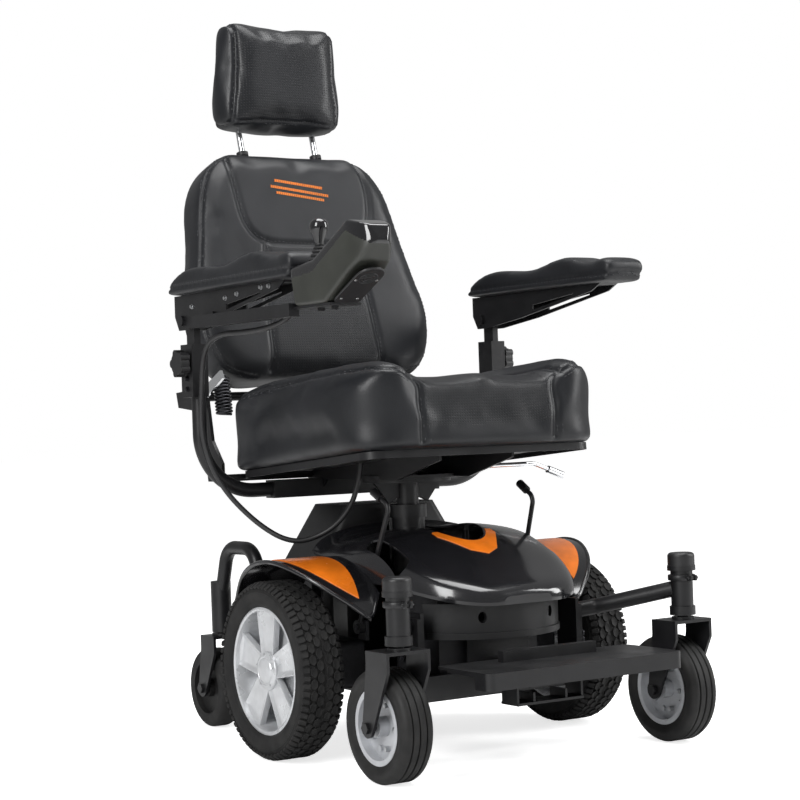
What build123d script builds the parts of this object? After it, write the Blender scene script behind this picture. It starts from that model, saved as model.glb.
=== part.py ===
"""Power wheelchair: a mid-wheel-drive base, a swivelling captain's seat and a joystick.

Millimetres.  +Z is up, the chair faces -Y, +X is the occupant's left.  The origin is on
the floor, in the middle of the chair's length and width.
"""
from build123d import *
import math
import os

os.makedirs("parts", exist_ok=True)

SIDES = (("right", -1), ("left", 1))

# ---------------------------------------------------------------- driving dimensions
axle_y = -31.0            # drive-axle line, ahead of the middle of the length
half_track = 323.0        # outer face of each drive tyre
run_fit = 0.05            # radial clearance of a pin or shaft that turns in its bore
slide_fit = 0.10          # radial clearance of a round part that slides in its bore
gap = 0.3                 # air between parts that pass each other

# Drive wheels
tyre_radius = 144.0
tyre_width = 75.0
rim_radius = 103.0
rim_width = 62.0
rim_wall = 6.0
rim_face_thickness = 12.0
rim_face_inset = 6.0      # spoke face, in from the rim's outer edge
spoke_count = 5
hub_radius = 27.0
drive_shaft_radius = 9.0

# Front casters
stem_x = 275.0
stem_y = axle_y - 339.0
caster_radius = 86.0
caster_width = 54.0
caster_trail = 35.0
caster_rim_radius = 58.0
fork_half_width = 38.5
fork_depth = 58.0
fork_sheet = 5.0
fork_top_z = 201.0
stem_radius = 9.0
barrel_radius = 18.0
barrel_bottom_z = 208.0
barrel_top_z = 284.0
cap_top_z = 309.0
caster_axle_radius = 6.0

# Rear casters
rear_stem_x = 200.0
rear_stem_y = axle_y + 362.0
rear_caster_radius = 70.0
rear_caster_width = 40.0
rear_trail = 30.0
rear_fork_half_width = 29.0
rear_fork_top_z = 166.0
rear_barrel_top_z = 262.0

# Chassis
rail_x = 135.0
rail_width = 30.0
rail_height = 40.0
rail_bottom_z = 95.0
rail_front_y = axle_y - 205.0
rail_rear_y = axle_y + 235.0
tray_sheet = 3.0
plate_sheet = 6.0
battery_length = 194.0
battery_width = 127.0
battery_height = 158.0
post_y = axle_y + 46.0    # seat post and swivel axis
socket_radius = 28.0
socket_top_z = 395.0
bridge_z = 270.0

# Shroud
shroud_wall = 3.0
fender_radius = 172.0     # inner radius, about the drive axle
fender_wall = 3.5
accent_height = 1.5

# Footplate
hinge_y = axle_y - 318.0
hinge_z = 168.0
hinge_pin_radius = 5.0
plate_half_width = 186.0
plate_front_y = axle_y - 440.0
plate_rear_y = axle_y - 300.0
plate_top_z = 165.0
plate_thickness = 4.0

# Seat
post_radius = 19.0
post_bottom_z = 215.0
head_radius = 75.0
head_bottom_z = 434.0
head_thickness = 6.0
king_pin_radius = 12.0
seat_tilt = 4.5           # degrees, front edge up
pan_z = 470.0             # underside of the seat pan above the swivel axis
pan_half_width = 222.0
pan_front_y = axle_y - 190.0
pan_rear_y = axle_y + 238.0
pan_thickness = 4.0
cushion_half_width = 245.0
cushion_front_y = axle_y - 212.0
cushion_rear_y = axle_y + 255.0
beam_z = 427.0

# Armrests
arm_x = 311.0
arm_y = axle_y + 218.0    # flip pivot
pivot_z = 720.0
j_tube_x = 305.0
j_tube_radius = 12.5
j_bend = 100.0
receiver_bottom_z = 590.0
receiver_top_z = 680.0
receiver_width = 30.0
receiver_depth = 42.0
arm_post_width = 12.0
arm_post_depth = 28.0
knob_z = 648.0
knob_radius = 24.0
channel_half_width = 20.0
channel_sheet = 3.0
channel_top_z = 763.0
pad_half_width = 42.0
pad_front_y = axle_y - 187.0
pad_rear_y = axle_y + 236.0

# Backrest
recline = 15.5            # degrees from upright
back_y = axle_y + 326.5   # middle of the cushion's thickness at its lower edge
back_z = 605.0
back_length = 452.0
back_thickness = 86.0
back_pivot_y = axle_y + 300.0
back_pivot_z = 585.0
headrest_x = 79.0
headrest_rod_radius = 5.5
headrest_bottom_z = 1092.0
headrest_top_z = 1288.0
headrest_y = axle_y + 457.0
headrest_thickness = 90.0

# Joystick
pod_x = -318.0
pod_half_width = 33.0
stick_y = axle_y - 222.0
stick_z = 779.0           # centre of the two tilt axes
mount_x = -344.0
mount_width = 18.0
mount_z = 713.0
cable_radius = 4.5


def save(builder, name):
    """Label the finished piece and write it under its node's name."""
    builder.part.label = name
    export_step(builder.part, f"parts/{name}.step")


def x_plane(x, y=0.0, z=0.0):
    """A sketch plane facing +X, its axes along Y and Z."""
    return Plane(origin=(x, y, z), x_dir=(0, 1, 0), z_dir=(1, 0, 0))


def span_plane(side_sign, x_low, y=0.0, z=0.0):
    """The x_plane at the lower end of a span that starts at x_low on one side of the chair."""
    return x_plane(side_sign * x_low, y, z)


def pan_under(y):
    """Height of the seat pan's underside at y."""
    return pan_z + (post_y - y) * math.tan(math.radians(seat_tilt))


def back_point(s, n, x=0.0):
    """A point s up the backrest from its lower edge and n behind the middle of its thickness."""
    tilt = math.radians(recline)
    return (x, back_y + s * math.sin(tilt) + n * math.cos(tilt),
            back_z + s * math.cos(tilt) - n * math.sin(tilt))


def back_plane(n):
    """The plane n behind the middle of the backrest: its x is X, its y runs up the backrest."""
    tilt = math.radians(recline)
    return Plane(origin=back_point(0, n), x_dir=(1, 0, 0), z_dir=(0, -math.cos(tilt), math.sin(tilt)))


# ================================================================ drive wheels
for side, sx in SIDES:
    wheel_x = sx * (half_track - tyre_width / 2)
    wheel_axis = Axis((0, axle_y, tyre_radius), (1, 0, 0))

    with BuildPart() as drive_tyre:
        with BuildSketch(Plane(origin=(wheel_x, axle_y, tyre_radius), x_dir=(1, 0, 0),
                               z_dir=(0, -1, 0))):
            with BuildLine():
                half = tyre_width / 2
                wall = Spline((-rim_width / 2, rim_radius), (-half, rim_radius + 16),
                              (-half + 3, tyre_radius - 10), (-half + 14, tyre_radius - 2.5),
                              (0, tyre_radius), (half - 14, tyre_radius - 2.5),
                              (half - 3, tyre_radius - 10), (half, rim_radius + 16),
                              (rim_width / 2, rim_radius))
                Line(wall @ 1, wall @ 0)
            make_face()
        revolve(axis=wheel_axis)
    save(drive_tyre, f"drive_tyre_{side}")

    face_x = wheel_x + sx * (rim_width / 2 - rim_face_inset - rim_face_thickness / 2)
    with BuildPart() as drive_rim:
        with BuildSketch(x_plane(wheel_x - rim_width / 2, axle_y, tyre_radius)):
            Circle(rim_radius)
            Circle(rim_radius - rim_wall, mode=Mode.SUBTRACT)
        extrude(amount=rim_width)
        with BuildSketch(x_plane(face_x - rim_face_thickness / 2, axle_y, tyre_radius)):
            Circle(rim_radius - rim_wall / 2)
            with PolarLocations(0, spoke_count, start_angle=90 + 180 / spoke_count):
                Polygon((36, -4), (88, -21), (92, 0), (88, 21), (36, 4), align=None,
                        mode=Mode.SUBTRACT)
        extrude(amount=rim_face_thickness)
        with BuildSketch(x_plane(wheel_x - 26, axle_y, tyre_radius)):
            Circle(hub_radius)
        extrude(amount=52)
        with BuildSketch(span_plane(sx, 205, axle_y, tyre_radius)):
            Circle(drive_shaft_radius)
        extrude(amount=sx * 70)
    save(drive_rim, f"drive_rim_{side}")

# ================================================================ motors and freewheel levers
gear_inner_x = rail_x + rail_width / 2
gear_outer_x = 240.0
gear_size = 78.0
motor_x = 200.0
motor_radius = 35.0
motor_length = 140.0
lever_pivot_y = axle_y - 44.0
lever_pivot_z = 205.0
lever_pin_radius = 5.0
lever_rod_radius = 4.0
lever_grip_radius = 7.0

for side, sx in SIDES:
    with BuildPart() as motor_gearbox:
        with BuildSketch(span_plane(sx, gear_inner_x, axle_y, tyre_radius)):
            RectangleRounded(gear_size, gear_size, 10)
        extrude(amount=sx * (gear_outer_x - gear_inner_x))
        with BuildSketch(Plane(origin=(sx * motor_x, axle_y, tyre_radius), x_dir=(1, 0, 0),
                               z_dir=(0, 1, 0))):
            Circle(motor_radius)
        extrude(amount=gear_size / 2 + motor_length)
        with BuildSketch(span_plane(sx, gear_inner_x, lever_pivot_y, lever_pivot_z - 6)):
            Rectangle(24, 32)
        extrude(amount=sx * 6)
        with BuildSketch(span_plane(sx, gear_inner_x + 6, lever_pivot_y, lever_pivot_z)):
            Circle(lever_pin_radius)
        extrude(amount=sx * 14)
        with BuildSketch(span_plane(sx, 200, axle_y, tyre_radius)):
            Circle(drive_shaft_radius + run_fit)
        extrude(amount=sx * 60, mode=Mode.SUBTRACT)
    save(motor_gearbox, f"motor_gearbox_{side}")

    with BuildPart() as freewheel_lever:
        with BuildSketch(span_plane(sx, gear_inner_x + 6 + gap, lever_pivot_y, lever_pivot_z)):
            Circle(11)
        extrude(amount=sx * 10)
        eye_x = sx * (gear_inner_x + 12)
        bend = (sx * 144, axle_y - 121, 402)
        tip = (sx * 147, axle_y - 79, 425)
        with BuildLine() as rod:
            FilletPolyline((eye_x, lever_pivot_y - 4, lever_pivot_z + 6),
                           (sx * 149, axle_y - 93, 335), bend, tip, radius=[40, 14])
        with BuildSketch(Plane(origin=rod.line @ 0, z_dir=rod.line % 0)):
            Circle(lever_rod_radius)
        sweep()
        with BuildSketch(Plane(origin=rod.line @ 1, z_dir=-(rod.line % 1))):
            Circle(lever_grip_radius)
        extrude(amount=24)
        with BuildSketch(span_plane(sx, gear_inner_x, lever_pivot_y, lever_pivot_z)):
            Circle(lever_pin_radius + run_fit)
        extrude(amount=sx * 30, mode=Mode.SUBTRACT)
    save(freewheel_lever, f"freewheel_lever_{side}")

# ================================================================ casters
def caster_fork(half_width, depth, top_z, stem_at, axle_z, trail, stem_top_z):
    """A folded sheet fork with tapered legs, its swivel stem and its wheel axle."""
    x, y = stem_at
    with BuildPart() as fork:
        with BuildSketch(Plane(origin=(x, y + 4, top_z - fork_sheet))):
            RectangleRounded(2 * half_width, depth, 5)
        extrude(amount=fork_sheet)
        for leg in (-1, 1):
            with BuildSketch(x_plane(x + leg * half_width - (fork_sheet if leg > 0 else 0))):
                with BuildLine():
                    Polyline((y + 4 - depth / 2, top_z), (y + 4 - depth / 2, top_z - 30),
                             (y + trail - 14, axle_z - 6), (y + trail + 14, axle_z - 6),
                             (y + 4 + depth / 2, top_z - 24), (y + 4 + depth / 2, top_z),
                             close=True)
                make_face()
            extrude(amount=fork_sheet)
            with BuildSketch(x_plane(x + leg * half_width - (fork_sheet if leg > 0 else 0),
                                     y + trail, axle_z)):
                Circle(15)
            extrude(amount=fork_sheet)
        with BuildSketch(x_plane(x - half_width - 5, y + trail, axle_z)):
            RegularPolygon(9, 6)
        extrude(amount=5)
        with BuildSketch(x_plane(x + half_width, y + trail, axle_z)):
            RegularPolygon(9, 6)
        extrude(amount=5)
        with BuildSketch(x_plane(x - half_width, y + trail, axle_z)):
            Circle(caster_axle_radius)
        extrude(amount=2 * half_width)
        with BuildSketch(Plane(origin=(x, y, top_z))):
            Circle(stem_radius + 9)
        extrude(amount=4)
        with BuildSketch(Plane(origin=(x, y, top_z))):
            Circle(stem_radius)
        extrude(amount=stem_top_z - top_z)
    return fork


def caster_ring(x, y, radius, width, inner_radius, edge):
    """A solid rubber tyre with rounded shoulders."""
    with BuildPart() as ring:
        with BuildSketch(x_plane(x - width / 2, y, radius)):
            Circle(radius)
            Circle(inner_radius, mode=Mode.SUBTRACT)
        extrude(amount=width)
        fillet(ring.edges().filter_by(GeomType.CIRCLE).group_by(SortBy.RADIUS)[-1], edge)
    return ring


def caster_centre(x, y, z, radius, width):
    """A dished wheel centre: a web between a hub and a rim, with five bolts."""
    with BuildPart() as centre:
        with BuildSketch(x_plane(x - width / 2, y, z)):
            Circle(radius)
            Circle(radius - 8, mode=Mode.SUBTRACT)
        extrude(amount=width)
        with BuildSketch(x_plane(x - 7, y, z)):
            Circle(radius - 4)
        extrude(amount=14)
        with BuildSketch(x_plane(x - width / 2 - 2, y, z)):
            Circle(15)
        extrude(amount=width + 4)
        with BuildSketch(x_plane(x - 11, y, z)):
            with PolarLocations(radius * 0.62, 5):
                RegularPolygon(5, 6)
        extrude(amount=22)
        with BuildSketch(x_plane(x - width / 2 - 2, y, z)):
            Circle(caster_axle_radius + run_fit)
        extrude(amount=width + 4, mode=Mode.SUBTRACT)
    return centre


for side, sx in SIDES:
    front_fork = caster_fork(fork_half_width, fork_depth, fork_top_z, (sx * stem_x, stem_y),
                             caster_radius, caster_trail, barrel_top_z - 2)
    save(front_fork, f"front_fork_{side}")
    front_axle_y = stem_y + caster_trail
    front_tyre = caster_ring(sx * stem_x, front_axle_y, caster_radius, caster_width,
                             caster_rim_radius, 12)
    save(front_tyre, f"front_caster_tyre_{side}")
    front_rim = caster_centre(sx * stem_x, front_axle_y, caster_radius, caster_rim_radius, 46)
    save(front_rim, f"front_caster_rim_{side}")

    rear_fork = caster_fork(rear_fork_half_width, 50, rear_fork_top_z,
                            (sx * rear_stem_x, rear_stem_y), rear_caster_radius, rear_trail,
                            rear_barrel_top_z - 2)
    save(rear_fork, f"rear_fork_{side}")
    with BuildPart() as rear_wheel:
        with BuildSketch(x_plane(sx * rear_stem_x - rear_caster_width / 2, rear_stem_y + rear_trail,
                                 rear_caster_radius)):
            Circle(rear_caster_radius)
        extrude(amount=rear_caster_width)
        fillet(rear_wheel.edges().filter_by(GeomType.CIRCLE), 10)
        for face in (-1, 1):
            dish_x = sx * rear_stem_x + face * rear_caster_width / 2
            with BuildSketch(x_plane(dish_x, rear_stem_y + rear_trail, rear_caster_radius)):
                Circle(rear_caster_radius - 24)
                Circle(16, mode=Mode.SUBTRACT)
            extrude(amount=-face * 10, mode=Mode.SUBTRACT)
        with BuildSketch(x_plane(sx * rear_stem_x - rear_caster_width / 2, rear_stem_y + rear_trail,
                                 rear_caster_radius)):
            Circle(caster_axle_radius + run_fit)
        extrude(amount=rear_caster_width, mode=Mode.SUBTRACT)
    save(rear_wheel, f"rear_caster_{side}")

# ================================================================ caster arms
arm_tube_radius = 13.0
bracket_x = gear_inner_x + plate_sheet

for side, sx in SIDES:
    with BuildPart() as front_arm:
        with BuildLine() as route:
            FilletPolyline((sx * (bracket_x + 7.7), axle_y - 192, 214), (sx * 196, axle_y - 214, 220),
                           (sx * (stem_x - 8), stem_y + 10, 250), radius=[30])
        with BuildSketch(Plane(origin=route.line @ 0, z_dir=route.line % 0)):
            Circle(arm_tube_radius)
        sweep()
        with BuildSketch(span_plane(sx, bracket_x, axle_y - 192, 190)):
            Rectangle(52, 76)
        extrude(amount=sx * plate_sheet)
        with BuildSketch(Plane(origin=(sx * stem_x, stem_y, barrel_bottom_z))):
            Circle(barrel_radius)
        extrude(amount=barrel_top_z - barrel_bottom_z)
        with BuildSketch(Plane(origin=(sx * stem_x, stem_y, barrel_bottom_z))):
            Circle(barrel_radius + 3)
        extrude(amount=14)
        with BuildSketch(Plane(origin=(sx * stem_x, stem_y, barrel_top_z - 4))):
            Circle(barrel_radius + 5)
        extrude(amount=8)
        with BuildSketch(Plane(origin=(sx * stem_x, stem_y, barrel_bottom_z))):
            Circle(stem_radius + run_fit)
        extrude(amount=90, mode=Mode.SUBTRACT)
    save(front_arm, f"front_arm_{side}")

    with BuildPart() as rear_arm:
        with BuildLine() as route:
            FilletPolyline((sx * (bracket_x + 3), axle_y + 212, 196),
                           (sx * rear_stem_x, axle_y + 212, 196),
                           (sx * rear_stem_x, axle_y + 228, 324),
                           (sx * rear_stem_x, axle_y + 330, 324),
                           (sx * rear_stem_x, rear_stem_y - 4, 240), radius=[22, 40, 40])
        with BuildSketch(Plane(origin=route.line @ 0, z_dir=route.line % 0)):
            Circle(arm_tube_radius - 1)
        sweep()
        with BuildSketch(span_plane(sx, bracket_x, axle_y + 212, 190)):
            Rectangle(44, 76)
        extrude(amount=sx * plate_sheet)
        with BuildSketch(Plane(origin=(sx * rear_stem_x, rear_stem_y, rear_fork_top_z + 6))):
            Circle(barrel_radius)
        extrude(amount=rear_barrel_top_z - rear_fork_top_z - 6)
        with BuildSketch(Plane(origin=(sx * rear_stem_x, rear_stem_y, rear_fork_top_z + 6))):
            Circle(stem_radius + run_fit)
        extrude(amount=rear_barrel_top_z - rear_fork_top_z - 6, mode=Mode.SUBTRACT)
    save(rear_arm, f"rear_arm_{side}")

with BuildPart() as arm_caps:
    for side, sx in SIDES:
        with BuildSketch(Plane(origin=(sx * stem_x, stem_y, barrel_top_z + 4))):
            Circle(barrel_radius + 4)
        extrude(amount=cap_top_z - barrel_top_z - 4)
    fillet(arm_caps.edges().filter_by(GeomType.CIRCLE).group_by(Axis.Z)[-1], 6)
save(arm_caps, "arm_caps")

# ================================================================ chassis
with BuildPart() as base_frame:
    rail_length = rail_rear_y - rail_front_y
    rail_mid_y = (rail_front_y + rail_rear_y) / 2
    rail_mid_z = rail_bottom_z + rail_height / 2
    with Locations((-rail_x, rail_mid_y, rail_mid_z), (rail_x, rail_mid_y, rail_mid_z)):
        Box(rail_width, rail_length, rail_height)
    with Locations((0, rail_front_y + 10, rail_mid_z), (0, rail_rear_y - 10, rail_mid_z)):
        Box(2 * rail_x, 20, rail_height)
    with Locations((0, rail_mid_y, rail_bottom_z + tray_sheet / 2)):
        Box(2 * rail_x, rail_length, tray_sheet)
    for sx in (-1, 1):
        with Locations((sx * (rail_x + 4), post_y, (rail_bottom_z + bridge_z) / 2)):
            Box(plate_sheet, 44, bridge_z - rail_bottom_z)
        for bracket_y in (axle_y - 192, axle_y + 212):
            with Locations((sx * (gear_inner_x + plate_sheet / 2), bracket_y, 166)):
                Box(plate_sheet, 52 if bracket_y < axle_y else 44, 142)
    with Locations((0, post_y, bridge_z - plate_sheet / 2)):
        Box(2 * rail_x + 14, 50, plate_sheet)
    with Locations((0, rail_front_y + 2, 170)):
        Box(120, 4, 90)
    with BuildSketch(Plane(origin=(0, post_y, rail_bottom_z))):
        Circle(socket_radius)
    extrude(amount=socket_top_z - rail_bottom_z)
    with BuildSketch(Plane(origin=(0, post_y, socket_top_z - 22))):
        Circle(socket_radius + 4)
    extrude(amount=22)
    with BuildSketch(Plane(origin=(0, post_y, rail_bottom_z + 60))):
        Circle(post_radius + slide_fit)
    extrude(amount=socket_top_z, mode=Mode.SUBTRACT)
    # footplate mount: a square tube forward to the hinge barrel
    mount_rear_y = rail_front_y + 2
    with Locations((0, (mount_rear_y + hinge_y + 8) / 2, 134)):
        Box(36, mount_rear_y - hinge_y - 8, 32)
    with Locations((0, hinge_y + 2, 143)):
        Box(50, 14, 50)
    with BuildSketch(x_plane(-25, hinge_y, hinge_z)):
        Circle(9)
    extrude(amount=50)
    with BuildSketch(x_plane(-25, hinge_y, hinge_z)):
        Circle(hinge_pin_radius + run_fit)
    extrude(amount=50, mode=Mode.SUBTRACT)
save(base_frame, "base_frame")

tray_top_z = rail_bottom_z + tray_sheet
with BuildPart() as batteries:
    for battery_y in (axle_y - 116, axle_y + 151):
        with Locations((0, battery_y, tray_top_z + battery_height / 2)):
            Box(battery_length, battery_width, battery_height)
            fillet(batteries.edges().filter_by(Axis.Z).group_by(Axis.Y)[-1], 4)
save(batteries, "batteries")

with BuildPart() as controller_box:
    with Locations((0, axle_y + 151, tray_top_z + battery_height + 20)):
        Box(130, 100, 40)
    chamfer(controller_box.edges().group_by(Axis.Z)[-1], 4)
save(controller_box, "controller_box")

# ================================================================ shroud
# (y from the axle, half width, lower edge, crown) of each arch, from the nose back
ARCHES = ((-292, 46, 251, 260), (-262, 112, 256, 284), (-200, 152, 270, 314),
          (-120, 172, 284, 352), (-30, 178, 290, 363), (80, 178, 290, 366))


def shroud_form(grow, drop):
    """The solid under the shroud's surface, its arches grown outward and let down."""
    with BuildPart() as form:
        for y, half, lip, crown in ARCHES:
            nose = -grow if y == ARCHES[0][0] else grow if y == ARCHES[-1][0] else 0
            w = half + grow
            rise = crown + grow - lip
            with BuildSketch(Plane(origin=(0, axle_y + y + nose, 0), x_dir=(1, 0, 0),
                                   z_dir=(0, -1, 0))):
                with BuildLine():
                    arch = Spline((-w, lip), (-0.93 * w, lip + 0.58 * rise),
                                  (-0.62 * w, lip + 0.88 * rise), (0, lip + rise),
                                  (0.62 * w, lip + 0.88 * rise), (0.93 * w, lip + 0.58 * rise),
                                  (w, lip))
                    Polyline(arch @ 1, (w, lip - drop), (-w, lip - drop), arch @ 0)
                make_face()
        loft()
    return form


outer_form = shroud_form(0, 5)
inner_form = shroud_form(-shroud_wall, 10)
skin_form = shroud_form(accent_height, 5)
clear_form = shroud_form(0.5, 30)

with BuildPart() as main_shroud:
    add(outer_form.part)
    add(inner_form.part, mode=Mode.SUBTRACT)
    for sx in (-1, 1):
        with BuildSketch(Plane(origin=(sx * 110, post_y - 14, bridge_z))):
            Circle(8)
        extrude(amount=110)
    add(outer_form.part, mode=Mode.INTERSECT)
    with BuildSketch(Plane(origin=(0, axle_y - 32, 300))):
        Ellipse(60, 116)
    extrude(amount=100, mode=Mode.SUBTRACT)
    for sx in (-1, 1):
        with BuildSketch(Plane(origin=(sx * 150, axle_y - 120, 290))):
            SlotOverall(104, 26, rotation=90)
        extrude(amount=100, mode=Mode.SUBTRACT)
save(main_shroud, "main_shroud")

with BuildPart() as shroud_accent:
    add(skin_form.part)
    add(outer_form.part, mode=Mode.SUBTRACT)
    with BuildSketch(Plane(origin=(0, axle_y, 290))):
        with BuildLine():
            Polyline((-58, -128), (-58, -112), (58, -112), (58, -128), (26, -176), (0, -190),
                     (-26, -176), close=True)
        make_face()
        with Locations((0, -32)):
            Ellipse(64, 120, mode=Mode.SUBTRACT)
    extrude(amount=100, mode=Mode.INTERSECT)
save(shroud_accent, "shroud_accent")

with BuildPart() as front_cover:
    with BuildSketch(Plane(origin=(0, axle_y, 192))):
        with BuildLine():
            front = ThreePointArc((-128, -186), (0, -272), (128, -186))
            offset(front, 3, side=Side.BOTH, closed=True)
        make_face()
    extrude(amount=56)
    with BuildSketch(Plane(origin=(0, axle_y, 192))):
        with BuildLine():
            lip = ThreePointArc((-124, -192), (0, -272), (124, -192))
            offset(lip, 6, side=Side.BOTH, closed=True)
        make_face()
    extrude(amount=10)
    for sx in (-1, 1):
        with Locations((sx * 50, axle_y - 233.5, 203)):
            Box(16, 57, 6)
        with BuildSketch(Plane(origin=(sx * 66, axle_y - 200, 226), x_dir=(1, 0, 0),
                               z_dir=(0, -1, 0))):
            Ellipse(6, 9)
        extrude(amount=100, mode=Mode.SUBTRACT)
save(front_cover, "front_cover")

# (height, half width, front y, rear y from the axle) of the rear cover's sections
COVER_RINGS = ((rail_bottom_z + rail_height, 149, 84, 236), (300, 146, 84, 236),
               (397, 92, 96, 214))


def cover_form(shrink):
    """The rear cover's outside, or its inside when it is shrunk."""
    with BuildPart() as form:
        for z, half, front, rear in COVER_RINGS:
            top = shrink if z == COVER_RINGS[-1][0] else 0
            with BuildSketch(Plane(origin=(0, axle_y + (front + rear) / 2, z - top))):
                RectangleRounded(2 * (half - shrink), rear - front - 2 * shrink, 16)
        loft(ruled=True)
    return form


with BuildPart() as rear_cover:
    add(cover_form(0).part)
    add(cover_form(shroud_wall).part, mode=Mode.SUBTRACT)
save(rear_cover, "rear_cover")


def fender_ring(inner, outer):
    """A ring about the drive axle, across both sides' fenders."""
    with BuildPart() as ring:
        with BuildSketch(x_plane(-320, axle_y, tyre_radius)):
            Circle(outer)
            Circle(inner, mode=Mode.SUBTRACT)
        extrude(amount=640)
    return ring


def fender_outline(sx, inset):
    """Plan outline of one fender on the floor plane, its tip at the front."""
    with BuildSketch(Plane(origin=(0, axle_y, 200), x_dir=(1, 0, 0), z_dir=(0, 0, 1))) as outline:
        with BuildLine():
            inner_x = sx * (168 + inset)
            rear_y = 150 - inset
            Line((inner_x, -120 + inset), (inner_x, rear_y))
            Line((inner_x, rear_y), (sx * (286 - inset), rear_y))
            Spline((sx * (286 - inset), rear_y), (sx * (304 - inset), 60),
                   (sx * (300 - inset), -40), (sx * (254 - inset), -120),
                   (sx * 205, -152 + inset))
            Line((sx * 205, -152 + inset), (inner_x, -120 + inset))
        make_face()
    return outline


for side, sx in SIDES:
    with BuildPart() as fender:
        add(fender_ring(fender_radius, fender_radius + fender_wall).part)
        add(fender_outline(sx, 0).sketch)
        extrude(amount=150, mode=Mode.INTERSECT)
        with BuildSketch(Plane(origin=(sx * 212, axle_y, tyre_radius + gear_size / 2))):
            Rectangle(4, 30)
        extrude(amount=fender_radius - gear_size / 2 + 2)
        add(clear_form.part, mode=Mode.SUBTRACT)
    save(fender, f"fender_{side}")

with BuildPart() as fender_accents:
    for side, sx in SIDES:
        with BuildSketch(Plane(origin=(0, axle_y, 200))):
            with BuildLine():
                Spline((sx * 214, -132), (sx * 262, -84), (sx * 282, -20), (sx * 276, 44))
                Line((sx * 276, 44), (sx * 214, 30))
                Spline((sx * 214, 30), (sx * 200, -50), (sx * 214, -132))
            make_face()
        extrude(amount=150)
    add(fender_ring(fender_radius + fender_wall, fender_radius + fender_wall + accent_height).part,
        mode=Mode.INTERSECT)
save(fender_accents, "fender_accents")

# ================================================================ footplate
with BuildPart() as footplate:
    depth = plate_rear_y - plate_front_y
    plate_mid_y = (plate_rear_y + plate_front_y) / 2
    with BuildSketch(Plane(origin=(0, plate_mid_y, plate_top_z - plate_thickness))):
        RectangleRounded(2 * plate_half_width, depth, 12)
    extrude(amount=plate_thickness)
    with BuildSketch(Plane(origin=(0, plate_mid_y, plate_top_z - 26))):
        RectangleRounded(2 * plate_half_width, depth, 12)
        RectangleRounded(2 * plate_half_width - 8, depth - 8, 9, mode=Mode.SUBTRACT)
        with Locations((0, depth / 2 - 12)):
            Rectangle(2 * plate_half_width + 20, 40, mode=Mode.SUBTRACT)
    extrude(amount=24)
    # the side lips are low, so that the casters pass under the plate's corners
    for sx in (-1, 1):
        with Locations((sx * plate_half_width, plate_front_y + 98, plate_top_z - 21)):
            Box(40, 124, 28, mode=Mode.SUBTRACT)
    with Locations((0, hinge_y - 19, plate_top_z + 8)):
        Box(180, 14, 18)
    for sx in (-1, 1):
        with BuildSketch(x_plane(sx * 35 - 4)):
            with BuildLine():
                Polyline((hinge_y - 24, plate_top_z - 2), (hinge_y + 9, plate_top_z - 2),
                         (hinge_y + 9, hinge_z + 4), (hinge_y - 24, plate_top_z + 16), close=True)
            make_face()
        extrude(amount=8)
        # ribbed heel pan under the plate
        with Locations((sx * 62, hinge_y - 2, plate_top_z - 36)):
            Box(4, 40, 66)
        with Locations((sx * 31, hinge_y - 2, 104)):
            Box(4, 40, 18)
    with BuildSketch(x_plane(-39, hinge_y, hinge_z)):
        Circle(hinge_pin_radius)
    extrude(amount=78)
    with Locations((0, hinge_y - 2, 97)):
        Box(128, 44, 4)
    with Locations((0, hinge_y + 10, plate_top_z)):
        Box(62, 40, 40, mode=Mode.SUBTRACT)
    with BuildSketch(x_plane(-35, hinge_y, hinge_z)):
        Circle(hinge_pin_radius)
    extrude(amount=70)
save(footplate, "footplate")

# ================================================================ seat post and swivel
with BuildPart() as seat_post:
    with BuildSketch(Plane(origin=(0, post_y, post_bottom_z))):
        Circle(post_radius)
    extrude(amount=head_bottom_z - post_bottom_z)
    with BuildSketch(Plane(origin=(0, post_y, head_bottom_z))):
        Circle(head_radius)
    extrude(amount=head_thickness)
    for sx in (-1, 1):
        with BuildSketch(Plane(origin=(0, post_y, 0), x_dir=(1, 0, 0), z_dir=(0, -1, 0))):
            with BuildLine():
                Polyline((sx * 16, head_bottom_z), (sx * 68, head_bottom_z),
                         (sx * 40, socket_top_z + 4), (sx * 16, socket_top_z + 14), close=True)
            make_face()
        extrude(amount=3, both=True)
    with BuildSketch(Plane(origin=(0, post_y, head_bottom_z + head_thickness))):
        Circle(king_pin_radius)
    extrude(amount=12)
save(seat_post, "seat_post")

turntable_z = head_bottom_z + head_thickness + gap
turntable_top = turntable_z + plate_sheet
frame_plate_x = 72.0
ear_x = 249.0
ear_sheet = 6.0
pivot_pin_radius = 6.0
lever_y = axle_y - 10
lever_z = 456.0
lever_pin_x = 92.0
swivel_pin_radius = 4.0

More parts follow.
